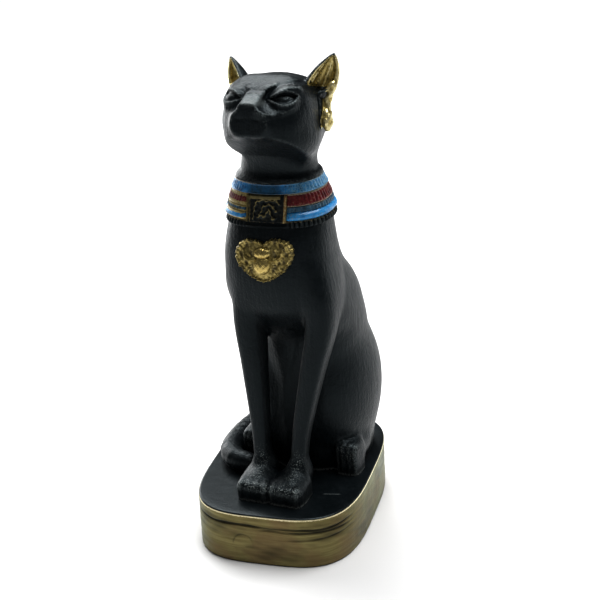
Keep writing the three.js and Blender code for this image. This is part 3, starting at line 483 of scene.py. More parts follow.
def skin(form, axes):
    """One point in each lattice cell that the surface crosses, at the mean of the crossings on the cell's
    edges, and a four-sided face round each crossed lattice edge. Each point is then moved onto the surface
    along the form's slope."""
    values = settle(sample(form, axes))
    inside = values < 0
    corner = [(a, b, c) for a in (0, 1) for b in (0, 1) for c in (0, 1)]
    end = [n - 1 for n in values.shape]
    count = sum(window(inside, c, end).astype(np.int8) for c in corner)
    cell = np.argwhere((count > 0) & (count < 8))
    owner = np.full(end, -1)
    owner[tuple(cell.T)] = np.arange(len(cell))
    value = {c: values[tuple((cell + c).T)] for c in corner}
    total, crossings = np.zeros((len(cell), 3)), np.zeros(len(cell))
    for a in corner:
        for axis in range(3):
            if a[axis]:
                continue
            b = tuple(1 if n == axis else v for n, v in enumerate(a))
            cross = (value[a] < 0) != (value[b] < 0)
            t = value[a] / np.where(cross, value[a] - value[b], 1)
            total += np.where(cross, 1, 0)[:, None] * (np.array(a) + t[:, None] * (np.array(b) - a))
            crossings += cross
    share = total / crossings[:, None]
    points = np.stack([
        mix(ax[cell[:, n]], ax[cell[:, n] + 1], share[:, n]) for n, ax in enumerate(axes)
    ], axis=1)
    for _ in range(SURFACE_PASSES):
        points -= step_to_surface(form, points)
    faces = []
    for axis in range(3):
        p, q = (axis + 1) % 3, (axis + 2) % 3
        low = [slice(1, n) for n in end]
        high = list(low)
        high[axis] = slice(2, end[axis] + 1)
        here, there = inside[tuple(low)], inside[tuple(high)]
        for change, order in ((here & ~there, 1), (~here & there, -1)):
            o = np.argwhere(change) + 1
            back_p, back_q = np.eye(3, dtype=int)[p], np.eye(3, dtype=int)[q]
            ring = [owner[tuple((o - s).T)] for s in (0 * back_p, back_p, back_p + back_q, back_q)]
            faces.append(np.stack(ring[::order], axis=1))
    return points, np.concatenate(faces)


def step_to_surface(form, points):
    """Value over slope, along the slope, at most half a cell long."""
    here = form(tuple(points.T))
    slope = np.stack([form(tuple((points + SLOPE_REACH * e).T)) - here for e in np.eye(3)], axis=1)
    slope /= SLOPE_REACH
    step = slope * (here / np.maximum((slope**2).sum(1), 0.05))[:, None]
    length = np.maximum(np.linalg.norm(step, axis=1), 1e-9)
    return step * np.minimum(1, HALF_CELL / length)[:, None]


def bulge(form, points, reach):
    """How much the surface bulges (above 0) or is hollow (below 0), over a given reach."""
    here = form(tuple(points.T))
    around = sum(form(tuple((points + s * reach * e).T)) for e in np.eye(3) for s in (-1, 1))
    return (around - 6 * here) / reach


def to_part(points):
    """Points of the cat's frame in the part's frame, in millimetres."""
    placed = points * UNIT + (FIGURE_OFFSET, 0, 0)
    placed = placed @ turn_matrix(0, 0, FIGURE_TURN).T
    return placed + (0, 0, BASE_HEIGHT)


def put(name, points, faces, marks):
    """A piece from points in millimetres and four-sided faces, with named values on its points."""
    mesh = bpy.data.meshes.new(name)
    mesh.vertices.add(len(points))
    mesh.vertices.foreach_set("co", (points * 0.001).astype(np.float32).ravel())
    mesh.loops.add(faces.size)
    mesh.loops.foreach_set("vertex_index", faces.astype(np.int32).ravel())
    mesh.polygons.add(len(faces))
    mesh.polygons.foreach_set("loop_start", np.arange(0, faces.size, 4, dtype=np.int32))
    mesh.update(calc_edges=True)
    mesh.validate()
    mesh.shade_smooth()
    for mark, values in marks.items():
        layer = mesh.attributes.new(mark, "FLOAT", "POINT")
        layer.data.foreach_set("value", values.astype(np.float32).ravel())
    piece = bpy.data.objects.new(name, mesh)
    bpy.context.scene.collection.objects.link(piece)
    return piece


def grid_faces(rows, columns, rows_close=False, columns_close=True):
    """Faces of a grid of points, which closes on itself along its columns, its rows, both or neither."""
    counts = rows - (not rows_close), columns - (not columns_close)
    i, j = np.meshgrid(*map(np.arange, counts), indexing="ij")
    next_i, next_j = (i + 1) % rows, (j + 1) % columns
    ring = (i * columns + j, i * columns + next_j, next_i * columns + next_j, next_i * columns + j)
    return np.stack([r.ravel() for r in ring], axis=1)


def caps(rows, columns, start=0):
    """Faces that close a grid's first and last ring, each laid across the ring between mirrored points."""
    k = np.arange(columns // 2 - 1)
    ring = (np.stack([k, k + 1, columns - 2 - k, columns - 1 - k], axis=1) + start) % columns
    return np.concatenate([ring[:, ::-1], ring + (rows - 1) * columns])


def shown(mark):
    """A mark on the points of a relief's face, with 0 on the hidden points behind it."""
    return np.concatenate([mark.ravel(), 0 * mark.ravel()])


# ---- body ----
LATTICE = [
    planes((-24, 22, 0.4)),
    planes((-26, -13, 0.36), (-13, -5, 0.42), (-5, 29, 0.5)),
    planes((-2.6, 9, 0.42), (9, 80, 0.8), (80, 97, 0.34), (97, 104, 0.42)),
]
FOOT_LINE = 0.12  # height of the pale line where the paws meet the base


def ear_gold(points, face):
    """1 where the inside of an ear, its strip and its lobe are gilded."""
    side = np.abs(face[0])
    level = (side, face[1], face[2] - EAR_LEAN * face[0])
    share, h, across, out, radius, near = ear_parts(level)
    rim = ramp(-1.0, -0.8, ear_mouth(out, radius)) * ramp(0.2, 0.5, across)
    gold = np.maximum(ramp(0.1, 0.35, radius - near - 0.2), rim)
    gold = gold * ramp(0.14, 0.19, share) * ramp(7.2, 8.0, side) * ramp(0.6, 0.3, near - radius)
    gold = np.maximum(gold, ramp(0.5, 0.3, chain(level, STRIP, 0.4)) * ramp(9.5, 9.8, side))
    gold = np.maximum(gold, ramp(0.5, 0.3, ellipsoid(level, *LOBE)) * ramp(9.7, 10.0, side))
    return gold * (points[:, 2] > 80)


def near_line(p, a, b, width):
    """1 on a line between two points, falling off over a width."""
    return bell(limb(p, a, b, 0, 0), width)


def body_piece():
    """The cat's skin, with marks for its gold, its edges, its painted highlights and the places that are
    speckled.
    """
    points, faces = skin(cat, LATTICE)
    place = tuple(points.T)
    face = in_head(place)
    # painted highlights: pale on the bridge of the nose, the right jowl and the lower lip
    painted_highlight = ramp(1.1, 0.0, ellipsoid(face, (0, -11.4, 0.9), (1.9, 2.0, 0.9)))
    painted_highlight = np.maximum(painted_highlight, near_line(face, (-8.8, -6.0, -3.5), (-8.2, -5.0, -6.5), 2.4))
    painted_highlight = np.maximum(painted_highlight, 1.6 * near_line(face, (0.4, -13.2, -3.3), (2.1, -13.0, -3.35), 0.32))
    # speckled: the toes, the insteps and the hind toes
    mirrored = (np.abs(place[0] - 0.2), *place[1:])
    specks = near_line(place, (-7.5, -21.3, 4.2), (8.0, -21.3, 4.2), 1.3)
    specks = np.maximum(specks, near_line(mirrored, (4.4, -15.6, 8.6), (4.4, -18.5, 6.6), 1.9))
    specks = np.maximum(specks, near_line(mirrored, (11.2, -4.6, 7.2), (13.2, -4.4, 4.6), 1.7))
    return put("cat_body", to_part(points), faces, {
        "gold": ear_gold(points, face),
        "bulge": np.clip(bulge(cat, points, 0.35), -1, 1),
        "foot": bell(place[2] - FOOT_LINE, 0.36) * (place[1] < 3),
        "painted_highlight": painted_highlight,
        "specks": specks,
    })


cat_body = body_piece()

# ---- base ----
BASE_COLUMNS, WALL_ROWS, EDGE_ROWS = 480, 56, 6
HUB = 0.02  # half width of the hole in the rings' middle, which the caps close


def squared(v):
    """A sine or cosine bent so that the base's plan becomes a superellipse."""
    return np.sign(v) * np.abs(v) ** (2 / BASE_SQUARENESS)


def base_piece():
    """Superellipse rings from the middle of the underside, up the wall and over to the middle of the top.
    The wall carries two shallow grooves round the front, a faint third one, and a small curved mark."""
    angle = (np.arange(BASE_COLUMNS) + 0.5) / BASE_COLUMNS * 2 * np.pi
    skewed = angle - 0.22 * np.sin(4 * angle)  # more points at the corners
    e = BASE_EDGE
    wall = np.linspace(e * 0.6, BASE_HEIGHT - e, WALL_ROWS)
    # rows of inset and height
    rows = [(BASE_WIDTH / 2 - HUB, 0), (14, 0), (7, 0), (2, 0), (e * 0.6, 0), (e * 0.25, e * 0.12)]
    rows += [(0, z) for z in wall]
    turn = np.linspace(0, np.pi / 2, EDGE_ROWS)[1:]
    rows += [(e * (1 - math.cos(t)), BASE_HEIGHT - e + e * math.sin(t)) for t in turn]
    rows += [(inset, BASE_HEIGHT) for inset in (2, 4, 7, 11, 16, BASE_WIDTH / 2 - HUB)]
    inset, z = np.array(rows).T[:, :, None]
    x = squared(np.cos(skewed)) * (BASE_WIDTH / 2 - inset)
    y = squared(np.sin(skewed)) * np.maximum(BASE_LENGTH / 2 - inset, HUB)
    z = np.broadcast_to(z, x.shape).copy()
    on_wall = ramp(0.5, 1.2, z) * ramp(13.2, 12.6, z)
    front = ramp(-14, -24, y)
    wave = np.sin(x * 0.45 + 1) * 0.12 + np.sin(x * 0.17) * 0.15
    depth = 0.34 * bell(z - 10.5 + wave, 0.26) * front
    depth += 0.3 * bell(z - 9.75 - wave + 0.02 * x, 0.22) * front * ramp(-6, 4, x)
    depth += 0.2 * bell(z - 7.2 - 0.04 * x, 0.22) * front * ramp(4, 9, x)
    mark = np.hypot((x + 5.4) / 2.7, (z - 4.9) / 3.1)
    depth += 0.14 * bell(mark - 1, 0.07) * (y < -20) * ramp(4.2, 5.4, z) * ramp(-2.2, -4, x)
    depth += 0.12 * np.sin(x * 0.21 + 1) * np.sin(z * 0.5) * np.sin(y * 0.17)
    depth += 0.05 * np.sin(x * 0.9 + z) * np.sin(y * 0.7 + 2 * z)
    depth *= on_wall
    out = np.stack([np.cos(angle), np.sin(angle)])
    x, y = x - depth * out[0], y - depth * out[1]
    points = np.stack([x, y, z], axis=-1).reshape(-1, 3)
    # the top and the underside are black, the wall is gilded
    top = np.maximum(ramp(BASE_HEIGHT - 0.5, BASE_HEIGHT - 0.12, points[:, 2]), ramp(0.3, 0.08, points[:, 2]))
    # a pale line under the top edge: partly worn gilding, partly a painted highlight
    worn = bell(points[:, 2] - BASE_HEIGHT + 0.45, 0.3)
    faces = np.concatenate([grid_faces(*x.shape), caps(*x.shape, start=BASE_COLUMNS // 4)])
    return put("base", points, faces, {"top": top, "groove": depth.ravel(), "worn": worn})


base = base_piece()

# ---- collar ----
BAND_ROWS, BAND_COLUMNS = 30, 720
FITTING_PASSES = 4  # height and depth on the leaning neck hang on each other


def round_neck(angle, up, relief):
    """Points round the neck at an angle from the front and a height on the collar, standing out by relief."""
    z = COLLAR_FOOT + up
    for _ in range(FITTING_PASSES):
        shift, centre, depth, half, square = section(z)
        nearness = np.abs(np.sin(angle) / half) ** square + np.abs(np.cos(angle) / depth) ** square
        reach = nearness ** (-1 / square) + relief
        chest, y = reach * np.sin(angle), centre - reach * np.cos(angle)
        z = collar_level(up, y, chest)
    return np.stack([chest + shift, y, z], axis=-1), chest


def band(name, low, high, relief):
    """A closed ring whose section runs up the outside and back down inside the neck."""
    angle = np.arange(BAND_COLUMNS) / BAND_COLUMNS * 2 * np.pi - np.pi
    share = np.linspace(0, 1, BAND_ROWS)
    v = np.concatenate([share, share[::-1][1:-1]])
    outer = np.arange(len(v)) < len(share)
    v, angle = np.meshgrid(v, angle, indexing="ij")
    up = mix(low, high, v)
    _, chest = round_neck(angle, up, 1.0)
    around = angle * NECK_REACH
    rise = relief(v, around, chest, angle)
    points, _ = round_neck(angle, up, np.where(outer[:, None], rise, BURIED))
    faces = grid_faces(*v.shape, rows_close=True)
    marks = {"across": v.ravel(), "around": around.ravel() / 10, "rise": rise.ravel()}
    return put(name, to_part(points.reshape(-1, 3)), faces, marks)


def edges(v, width):
    """1 across a band, falling to 0 at its two edges over a width."""
    return np.sqrt(np.clip(np.minimum(v, 1 - v) / width, 0, 1))


def wobble(around, n):
    """A slow uneven wave round the neck."""
    slow = np.sin(around * 0.9 + n) * 0.5 + np.sin(around * 2.3 + 2 * n) * 0.3
    return slow + np.sin(around * 5.1 + n * n) * 0.2


def ribs(around, pitch, sharp):
    """Upright ribs: 1 on their crests and 0 in the grooves between them."""
    wave = np.cos(around / pitch * 2 * np.pi + 0.4 * wobble(around, 2))
    return np.clip(0.5 + 0.5 * wave, 0, 1) ** sharp


def behind_plate(chest, angle):
    """1 away from the front plate and 0 behind it."""
    return np.where(np.abs(angle) < FRONT_ANGLE, ramp(4.75, 5.15, np.abs(chest)), 1)


def blue_relief(v, around, chest, angle):
    rims = 0.22 * (bell(v - 0.1, 0.08) + bell(v - 0.92, 0.07))
    ribbed = 0.16 * ribs(around, 0.95, 0.6) * ramp(0.15, 0.3, v) * ramp(0.9, 0.75, v)
    ribbed = ribbed * ramp(0.35, 0.8, np.abs(angle))
    return mix(1.15, 0.75, v) * mix(0.2, 1, edges(v, 0.12)) + rims + ribbed - 0.1


def red_relief(v, around, chest, angle):
    rims = 0.2 * (bell(v - 0.08, 0.06) + bell(v - 0.94, 0.05))
    ribbed = 0.26 * ribs(around, 0.85, 0.6) * ramp(0.12, 0.22, v) * ramp(0.9, 0.8, v)
    rise = mix(1.15, 0.85, v) * mix(0.2, 1, edges(v, 0.1)) + rims + ribbed - 0.15
    return rise * mix(0.2, 1, behind_plate(chest, angle))


def reed_relief(v, around, chest, angle):
    ribbed = 0.22 * ribs(around, 0.8, 0.7)
    return (0.95 * edges(v, 0.2) + ribbed) * mix(0.1, 1, behind_plate(chest, angle))


def tube_relief(v, around, chest, angle):
    # it ends round, a little outside the plate
    end = np.where(np.abs(angle) < FRONT_ANGLE, np.clip(np.abs(chest) - 4.8, 0, 1), 1)
    swell = arc(1 - end)
    return 1.45 * arc(2 * v - 1) * swell - 0.3 * (1 - swell) + 0.03 * wobble(around, 1)


def fringe_relief(v, around, chest, angle):
    tooth = ribs(around, 0.95, 0.45)
    left = np.where((angle > 0.55) | (np.abs(angle) > 2), 1.0, 0.55)
    line = 0.28 * bell(v - 0.3, 0.12) * ramp(0.55, 0.45, np.abs(angle))
    teeth = (0.25 + 0.8 * tooth * left) * edges(v, 0.25)
    return np.where(np.abs(angle) < 0.52, 0.28 * edges(v, 0.2) + line, teeth)


bands = {name: band(name, *heights, relief) for name, heights, relief in (
    ("collar_fringe", FRINGE, fringe_relief),
    ("collar_tube", TUBE, tube_relief),
    ("collar_reeds", REEDS, reed_relief),
    ("collar_red", RED, red_relief),
    ("collar_blue", BLUE, blue_relief),
)}


# ---- plate ----
PLATE_COLUMNS, PLATE_ROWS = 150, 110
# the worn lines on the plate: across, and up from its lower edge
ARCH = [(-2.9, 0.9), (-2.7, 3.0), (-2.3, 4.3), (-1.2, 4.9), (0.6, 4.8), (2.2, 4.9), (2.9, 4.2)]
NICHE = [(-1.1, 2.3), (-0.5, 3.6), (0.6, 4.0), (1.7, 3.6), (2.3, 2.4)]
FIGURE = [(-1.9, 1.1), (-1.3, 1.9), (-0.6, 1.2), (0.1, 1.9), (0.7, 3.0), (1.2, 2.0), (1.6, 1.1), (2.3, 0.9)]


def front_plate():
    """A plate bent round the neck's front: a sunk field with a frame and shallow strokes, as a grid of
    place across and height, closed by walls that run back into the neck."""
    v, u = np.meshgrid(np.linspace(0, 1, PLATE_ROWS), np.linspace(-1, 1, PLATE_COLUMNS), indexing="ij")
    chest, up = u * PLATE_HALF, mix(PLATE_LOW, PLATE_HIGH, v)
    top_bar = ramp(5.75, 5.9, up) * ramp(3.4, 3.2, chest) * ramp(-3.9, -3.7, chest)
    right_bar = ramp(3.92, 4.08, chest)
    left_bars = bell(chest + 4.35, 0.16) + 0.7 * bell(chest + 3.7, 0.14)
    x = chest + 0.12 * np.sin(up * 5.1) + 0.07 * np.sin(chest * 9)
    y = up - PLATE_LOW + 0.12 * np.sin(chest * 4.3 + 1)
    width = 0.27 + 0.07 * np.sin(chest * 3.1 + up * 2.3)
    lines = np.maximum(trace(x, y, NICHE, width), trace(x, y, FIGURE, width))
    lines = np.maximum(trace(x, y, ARCH, width), lines) * (1 - right_bar) * (1 - top_bar)
    relief = 0.5 + 0.75 * right_bar + 0.55 * top_bar + 0.55 * left_bars + 0.32 * lines
    relief *= np.minimum(edges((u + 1) / 2, 0.03), edges(v, 0.035))
    edge = (np.abs(u) > 0.999) | (np.abs(v - 0.5) > 0.499)
    gold = 0.9 * top_bar + 0.62 * lines + 0.6 * left_bars + 0.42 * ramp(-3.1, -4.3, chest)
    outer = on_front(chest, up, np.where(edge, BURIED, relief))
    points = np.stack([outer, on_front(chest, up, PLATE_BACK)]).reshape(-1, 3)
    marks = {"gold": shown(np.clip(gold, 0, 1)), "bar": shown(right_bar)}
    return put("collar_plate", to_part(points), closed_sheet(*u.shape), marks)


def front_share(chest, half, square):
    """How far forward the neck's or chest's front lies at a sideways place, in shares of its half depth."""
    return np.clip(1 - np.abs(chest / half) ** square, 0.02, 1) ** (1 / square)


def on_front(chest, up, relief):
    """Points on the front of the neck or chest by their sideways place and collar height."""
    z = COLLAR_FOOT + up
    for _ in range(FITTING_PASSES):
        shift, centre, depth, half, square = section(z)
        share = front_share(chest, half, square)
        y = centre - depth * share
        z = collar_level(up, y, chest)
    # the outward direction in plan, from the section's slope
    nx = np.sign(chest) * np.abs(chest / half) ** (square - 1) / half
    ny = share ** (square - 1) / depth
    size = np.hypot(nx, ny)
    return np.stack([chest + shift + relief * nx / size, y - relief * ny / size, z], axis=-1)


def closed_sheet(rows, columns):
    """Faces of an open grid, of the same grid behind it, and of the wall round their edge."""
    faces = grid_faces(rows, columns, columns_close=False)
    n = rows * columns
    i = np.arange(n).reshape(rows, columns)
    rim = np.concatenate([i[0, :-1], i[:-1, -1], i[-1, :0:-1], i[:0:-1, 0]])
    after = np.roll(rim, -1)
    wall = np.stack([rim, rim + n, after + n, after], axis=1)
    return np.concatenate([faces, faces[:, ::-1] + n, wall])


plate = front_plate()

# ---- pendant ----
PENDANT_COLUMNS, PENDANT_ROWS = 360, 90
# reach of the pendant's outline from its middle, every 15 degrees from straight down round by the cat's left
REACH = np.array([
    5.0, 4.95, 4.9, 5.1, 5.6, 6.0, 6.8, 7.2, 7.05, 6.2, 5.4, 4.7,
    3.6, 4.4, 5.2, 6.4, 7.1, 7.3, 6.8, 5.85, 5.2, 4.8, 4.6, 4.8,
])

# the beetle's legs that hold up its wings: across and up from the pendant's middle
ARMS = [(1.7, 0.4), (3.2, 0.1), (4.3, 0.9), (4.6, 2.2)]


def pendant_piece():
    """A winged beetle as a relief over a heart shape, on a grid of angle and share of the reach."""
    turn = np.arange(PENDANT_COLUMNS) / PENDANT_COLUMNS * 2 * np.pi
    share = np.linspace(0.004, 1, PENDANT_ROWS) ** 0.8
    reach = np.interp(turn / (2 * np.pi) * len(REACH), np.arange(len(REACH) + 1), np.append(REACH, REACH[0]))
    # the mean of nine neighbours rounds its corners
    reach = np.convolve(np.concatenate([reach[-4:], reach, reach[:4]]), np.ones(9) / 9, mode="valid")
    jag = 0.12 * np.sin(turn * 41) + 0.08 * np.sin(turn * 23 + 1)
    s, t = np.meshgrid(share, turn, indexing="ij")
    r = s * (reach + jag * 0.9)
    x, z = r * np.sin(t), -r * np.cos(t)
    wing_cases = 1.45 * arc(np.hypot(x / 2.1, (z + 0.95) / 2.2))
    crown = (1.35 + 0.12 * np.sin(x * 3.4 + 0.6)) * arc(np.hypot(x / 2.2, (z - 1.75) / 1.25))
    domes = np.maximum(wing_cases, crown)
    arms = 0.55 * trace(np.abs(x), z, ARMS, 0.34)
    wing_angle = np.arctan2(z + 1.2, np.abs(x))
    uneven = np.sin(x * 2.3 + 1) * np.sin(z * 1.9 + 2) + 0.6 * np.sin(x * 4.7 + 3 * z)
    feather = 0.5 + 0.5 * np.cos(wing_angle * 26 + 1.5 * uneven)
    rows = 0.5 + 0.5 * np.cos((r - 2.2) * 3.4 + 1.2 * uneven)
    wings = ramp(2.1, 2.9, np.abs(x)) * (0.09 * feather + 0.13 * rows + 0.12 * uneven)
    rim = 0.32 * bell(s - 0.93, 0.05) * (1 + 0.3 * np.sin(t * 60))
    height = 0.55 + wings + rim + np.maximum(domes, arms)
    height += 0.04 * np.sin(x * 5 + 1) * np.sin(z * 4.3) + 0.015 * np.sin(x * 13) * np.sin(z * 11 + 2)
    height *= np.sqrt(np.clip((1 - s) / 0.05, 0, 1))
    recess = ramp(0.3, 0.02, wings / 0.3 + domes + arms) * ramp(2.0, 2.6, np.abs(x))
    height = np.where(s > 0.999, -0.5, height)
    px, pz = PENDANT_AT[0] + x, PENDANT_AT[1] + z + 0.06 * x
    shift, centre, depth, half, square = section(pz)
    y = centre - depth * front_share(px, half, square)
    outer = np.stack([px + shift, y - height, pz], axis=-1)
    inner = np.stack([px + shift, y + 0.7, pz], axis=-1)
    points = np.concatenate([outer, inner[::-1]]).reshape(-1, 3)
    size = 2 * PENDANT_ROWS, PENDANT_COLUMNS
    faces = np.concatenate([grid_faces(*size), caps(*size)])[:, ::-1]
    return put("pendant", to_part(points), faces, {"recess": shown(recess), "height": shown(height)})


pendant = pendant_piece()

# ---- finishes ----


class Value:
    """A shader socket that takes part in sums: an expression on values adds its Math nodes."""

    def __init__(self, finish, socket):
        self.finish, self.socket = finish, socket

    def math(self, operation, a, b):
        return self.finish.node("ShaderNodeMath", {"operation": operation}, {0: a, 1: b})

    def __add__(self, other):
        return self.math("ADD", self, other)

    def __sub__(self, other):
        return self.math("SUBTRACT", self, other)

    def __rsub__(self, other):
        return self.math("SUBTRACT", other, self)

    def __mul__(self, other):
        return self.math("MULTIPLY", self, other)

    def __abs__(self):
        return self.math("ABSOLUTE", self, 0.0)

    __radd__, __rmul__ = __add__, __mul__


class Finish:
    """A material and its nodes."""

    def __init__(self, name, **constant):
        self.material = bpy.data.materials.new(name)
        self.material.use_nodes = True
        self.tree = self.material.node_tree
        self.shader = self.tree.nodes["Principled BSDF"]
        for socket, value in constant.items():
            self.shader.inputs[socket.replace("_", " ")].default_value = value

    def node(self, kind, settings=None, inputs=None, out=0):
        """A node of a type, with its settings and the values or links of its sockets; gives one output."""
        node = self.tree.nodes.new(kind)
        for name, value in (settings or {}).items():
            setattr(node, name, value)
        for key, value in (inputs or {}).items():
            self.plug(node.inputs[key], value)
        return Value(self, node.outputs[out])

    def plug(self, socket, value):
        if isinstance(value, Value):
            self.tree.links.new(value.socket, socket)
        else:
            socket.default_value = value

    def mark(self, name):
        """A value that the piece's points carry."""
        return self.node("ShaderNodeAttribute", {"attribute_name": name}, out="Fac")

    def place(self, stretch=(1, 1, 1), turn=(0, 0, 0)):
        """The place on the object in millimetres, stretched and turned."""
        where = self.node("ShaderNodeTexCoord", out="Object")
        scale = tuple(1000 * s for s in stretch)
        return self.node("ShaderNodeMapping", {}, {"Vector": where, "Scale": scale, "Rotation": turn})

    def axis(self, place, name):
        """One coordinate of a place."""
        return self.node("ShaderNodeSeparateXYZ", {}, {"Vector": place}, out=name)

    def noise(self, place, scale, detail=3, rough=0.55):
        """Soft noise between 0 and 1, with a number of waves in each millimetre."""
        return self.node("ShaderNodeTexNoise", {}, {
            "Vector": place, "Scale": scale, "Detail": detail, "Roughness": rough
        }, out="Fac")

    def step(self, value, low, high):
        """0 below low, 1 above high, smooth between."""
        return self.node("ShaderNodeMapRange", {"interpolation_type": "SMOOTHSTEP"}, {
            "Value": value, "From Min": low, "From Max": high
        })

    def within(self, value, low, rise, fall, high):
        """0 below low and above high, 1 between rise and fall, smooth between."""
        return self.step(value, low, rise) * (1 - self.step(value, fall, high))

    def clip(self, value):
        """A value kept between 0 and 1."""
        return self.node("ShaderNodeClamp", {}, {"Value": value}, out="Result")

    def colours(self, share, a, b):
        """A colour between two colours or links."""
        a, b = (c if isinstance(c, Value) else (*c, 1) for c in (a, b))
        return self.node("ShaderNodeMix", {"data_type": "RGBA"}, {0: share, 6: a, 7: b}, out=2)

    def set(self, **links):
        for socket, value in links.items():
            self.plug(self.shader.inputs[socket.replace("_", " ")], value)

    def bump(self, height, depth_mm, strength=1.0):
        """Surface relief from a height between 0 and 1, of a depth in millimetres."""
        self.set(Normal=self.node("ShaderNodeBump", {}, {
            "Height": height, "Distance": depth_mm * 0.001, "Strength": strength
        }, out="Normal"))


BLACK, BLACK_LIFTED = (0.0025, 0.0045, 0.0058), (0.009, 0.0125, 0.015)
# the palest gold is a painted highlight on the ears' ridges
GOLD, GOLD_DARK, GOLD_HIGHLIGHT = (0.50, 0.41, 0.17), (0.16, 0.125, 0.045), (0.78, 0.70, 0.42)
BLUE_BRIGHT, BLUE_DEEP = (0.035, 0.24, 0.52), (0.008, 0.07, 0.17)
DARK_RED = (0.15, 0.012, 0.016)
# the pale grey is rubbed paint and scratches, and painted highlights too
TAN, RUBBED_AND_SHEEN = (0.30, 0.24, 0.14), (0.11, 0.125, 0.125)
SPECK, CONTACT = (0.26, 0.29, 0.28), (0.24, 0.26, 0.25)
WALL_DARK, WALL_GOLD, WALL_BROWN = (0.15, 0.125, 0.05), (0.25, 0.215, 0.095), (0.18, 0.115, 0.06)
# the palest gilt is worn gilding and a painted highlight under the top edge
WALL_STAIN, WALL_GROOVE, WALL_WORN_AND_SHEEN = (0.055, 0.05, 0.03), (0.035, 0.03, 0.016), (0.85, 0.77, 0.52)


def black_paint(name):
    """Satin black brushed on by hand: faint upright strokes, paler where it is rubbed."""
    f = Finish(name, Specular_IOR_Level=0.25, Specular_Tint=(0.8, 0.95, 1.0, 1))
    strokes = f.noise(f.place((1, 1, 0.14)), 1.3, 4, 0.6)
    blotch = f.noise(f.place(), 0.22, 3)
    grain = f.noise(f.place(), 2.2, 3)
    lifted = f.clip((blotch - 0.35) * 1.1 + (strokes - 0.5) * 1.2)
    colour = f.colours(lifted, BLACK, BLACK_LIFTED)
    rough = 0.37 + (strokes - 0.5) * 0.22 + (blotch - 0.5) * 0.16 + (grain - 0.5) * 0.1
    return f, colour, rough, strokes, grain


def finish_body():
    """Black, rubbed pale on its edges, with pale specks and contact lines, painted highlights on the bridge
    of the nose, the right jowl and the lower lip, and gold in the ears with a painted highlight of paler gold
    on their ridges.
    """
    f, colour, rough, strokes, grain = black_paint("black_paint")
    bulge_mark = f.mark("bulge")
    rubbed = f.step(bulge_mark, 0.2, 0.65) * f.step(grain + strokes * 0.3, 0.5, 0.78)
    colour = f.colours(rubbed * 0.8, colour, RUBBED_AND_SHEEN)
    # painted highlights: pale on the bridge of the nose, the right jowl and the lower lip
    colour = f.colours(f.mark("painted_highlight") * (0.3 + grain * 0.7), colour, RUBBED_AND_SHEEN)
    specks = f.mark("specks") * f.step(f.noise(f.place(), 3.2, 2), 0.56, 0.66)
    colour = f.colours(specks, colour, SPECK)
    contact = f.mark("foot") * f.step(grain, 0.36, 0.52)
    colour = f.colours(contact, colour, CONTACT)
    gold = f.mark("gold")
    patch = f.noise(f.place(), 1.1, 4)
    brass = f.colours(f.step(patch, 0.3, 0.5), GOLD_DARK, GOLD)
    # painted highlight: the ears' bulging folds and ridges turn to a paler gold
    brass = f.colours(f.step(bulge_mark, 0.0, 0.5) * 0.75, brass, GOLD_HIGHLIGHT)
    edge = f.step(gold + (patch - 0.5) * 0.25, 0.4, 0.6)
    f.set(Base_Color=f.colours(edge, colour, brass), Metallic=edge * 0.7, Roughness=rough - edge * 0.12)
    lumps = f.noise(f.place(), 0.75, 2)
    f.bump(strokes * 0.6 + grain * 0.4 + lumps * 0.3, 0.28)
    return f.material


SCRATCH_X, SCRATCH_Y = 11.6, -15.9  # mm, where the scratch starts


def finish_base():
    """Black on top and underneath; gold in long streaks on the wall, dark in its grooves, with a pale line
    under the top edge that is partly worn gilding and partly a painted highlight.
    """
    f, colour, rough, strokes, grain = black_paint("base_paint")
    top, groove = f.mark("top"), f.mark("groove")
    streak = f.noise(f.place((0.05, 0.05, 1)), 1.1, 5, 0.6)
    cloud = f.noise(f.place(), 0.11, 3)
    stain = f.noise(f.place((0.16, 0.16, 0.9)), 0.9, 4, 0.65)
    brass = f.colours(f.step(streak, 0.3, 0.7), WALL_DARK, WALL_GOLD)
    brass = f.colours(f.step(cloud, 0.4, 0.62) * 0.5, brass, WALL_BROWN)
    brass = f.colours(f.step(stain, 0.6, 0.78) * 0.45, brass, WALL_STAIN)
    brass = f.colours(f.clip(groove * 3.6), brass, WALL_GROOVE)
    # the pale line under the top edge: partly worn gilding, partly a painted highlight
    worn = f.mark("worn") + (grain - 0.5) * 0.9 + (stain - 0.5) * 0.6
    brass = f.colours(f.step(worn, 0.55, 0.8), brass, WALL_WORN_AND_SHEEN)
    edge = f.step(top + (stain - 0.5) * 0.8 + (grain - 0.5) * 0.5, 0.4, 0.55)
    # a pale scratch in front of the left hind paw
    where = f.place()
    x, y = f.axis(where, "X"), f.axis(where, "Y")
    off = abs(y - SCRATCH_Y - (x - SCRATCH_X) * 0.15) + (grain - 0.5) * 0.5
    along = f.within(x, SCRATCH_X, SCRATCH_X + 1, SCRATCH_X + 4, SCRATCH_X + 5)
    upper_side = f.step(f.axis(where, "Z"), 5, 10)
    scratch = (1 - f.step(off, 0.08, 0.3)) * along * upper_side
    colour = f.colours(scratch * 0.6, colour, RUBBED_AND_SHEEN)
    gilt = 1 - edge
    f.set(Base_Color=f.colours(edge, brass, colour), Metallic=gilt * 0.6, Roughness=rough + gilt * 0.04)
    f.bump(strokes * 0.3 + stain * 0.5 + grain * 0.3, 0.1)
    return f.material


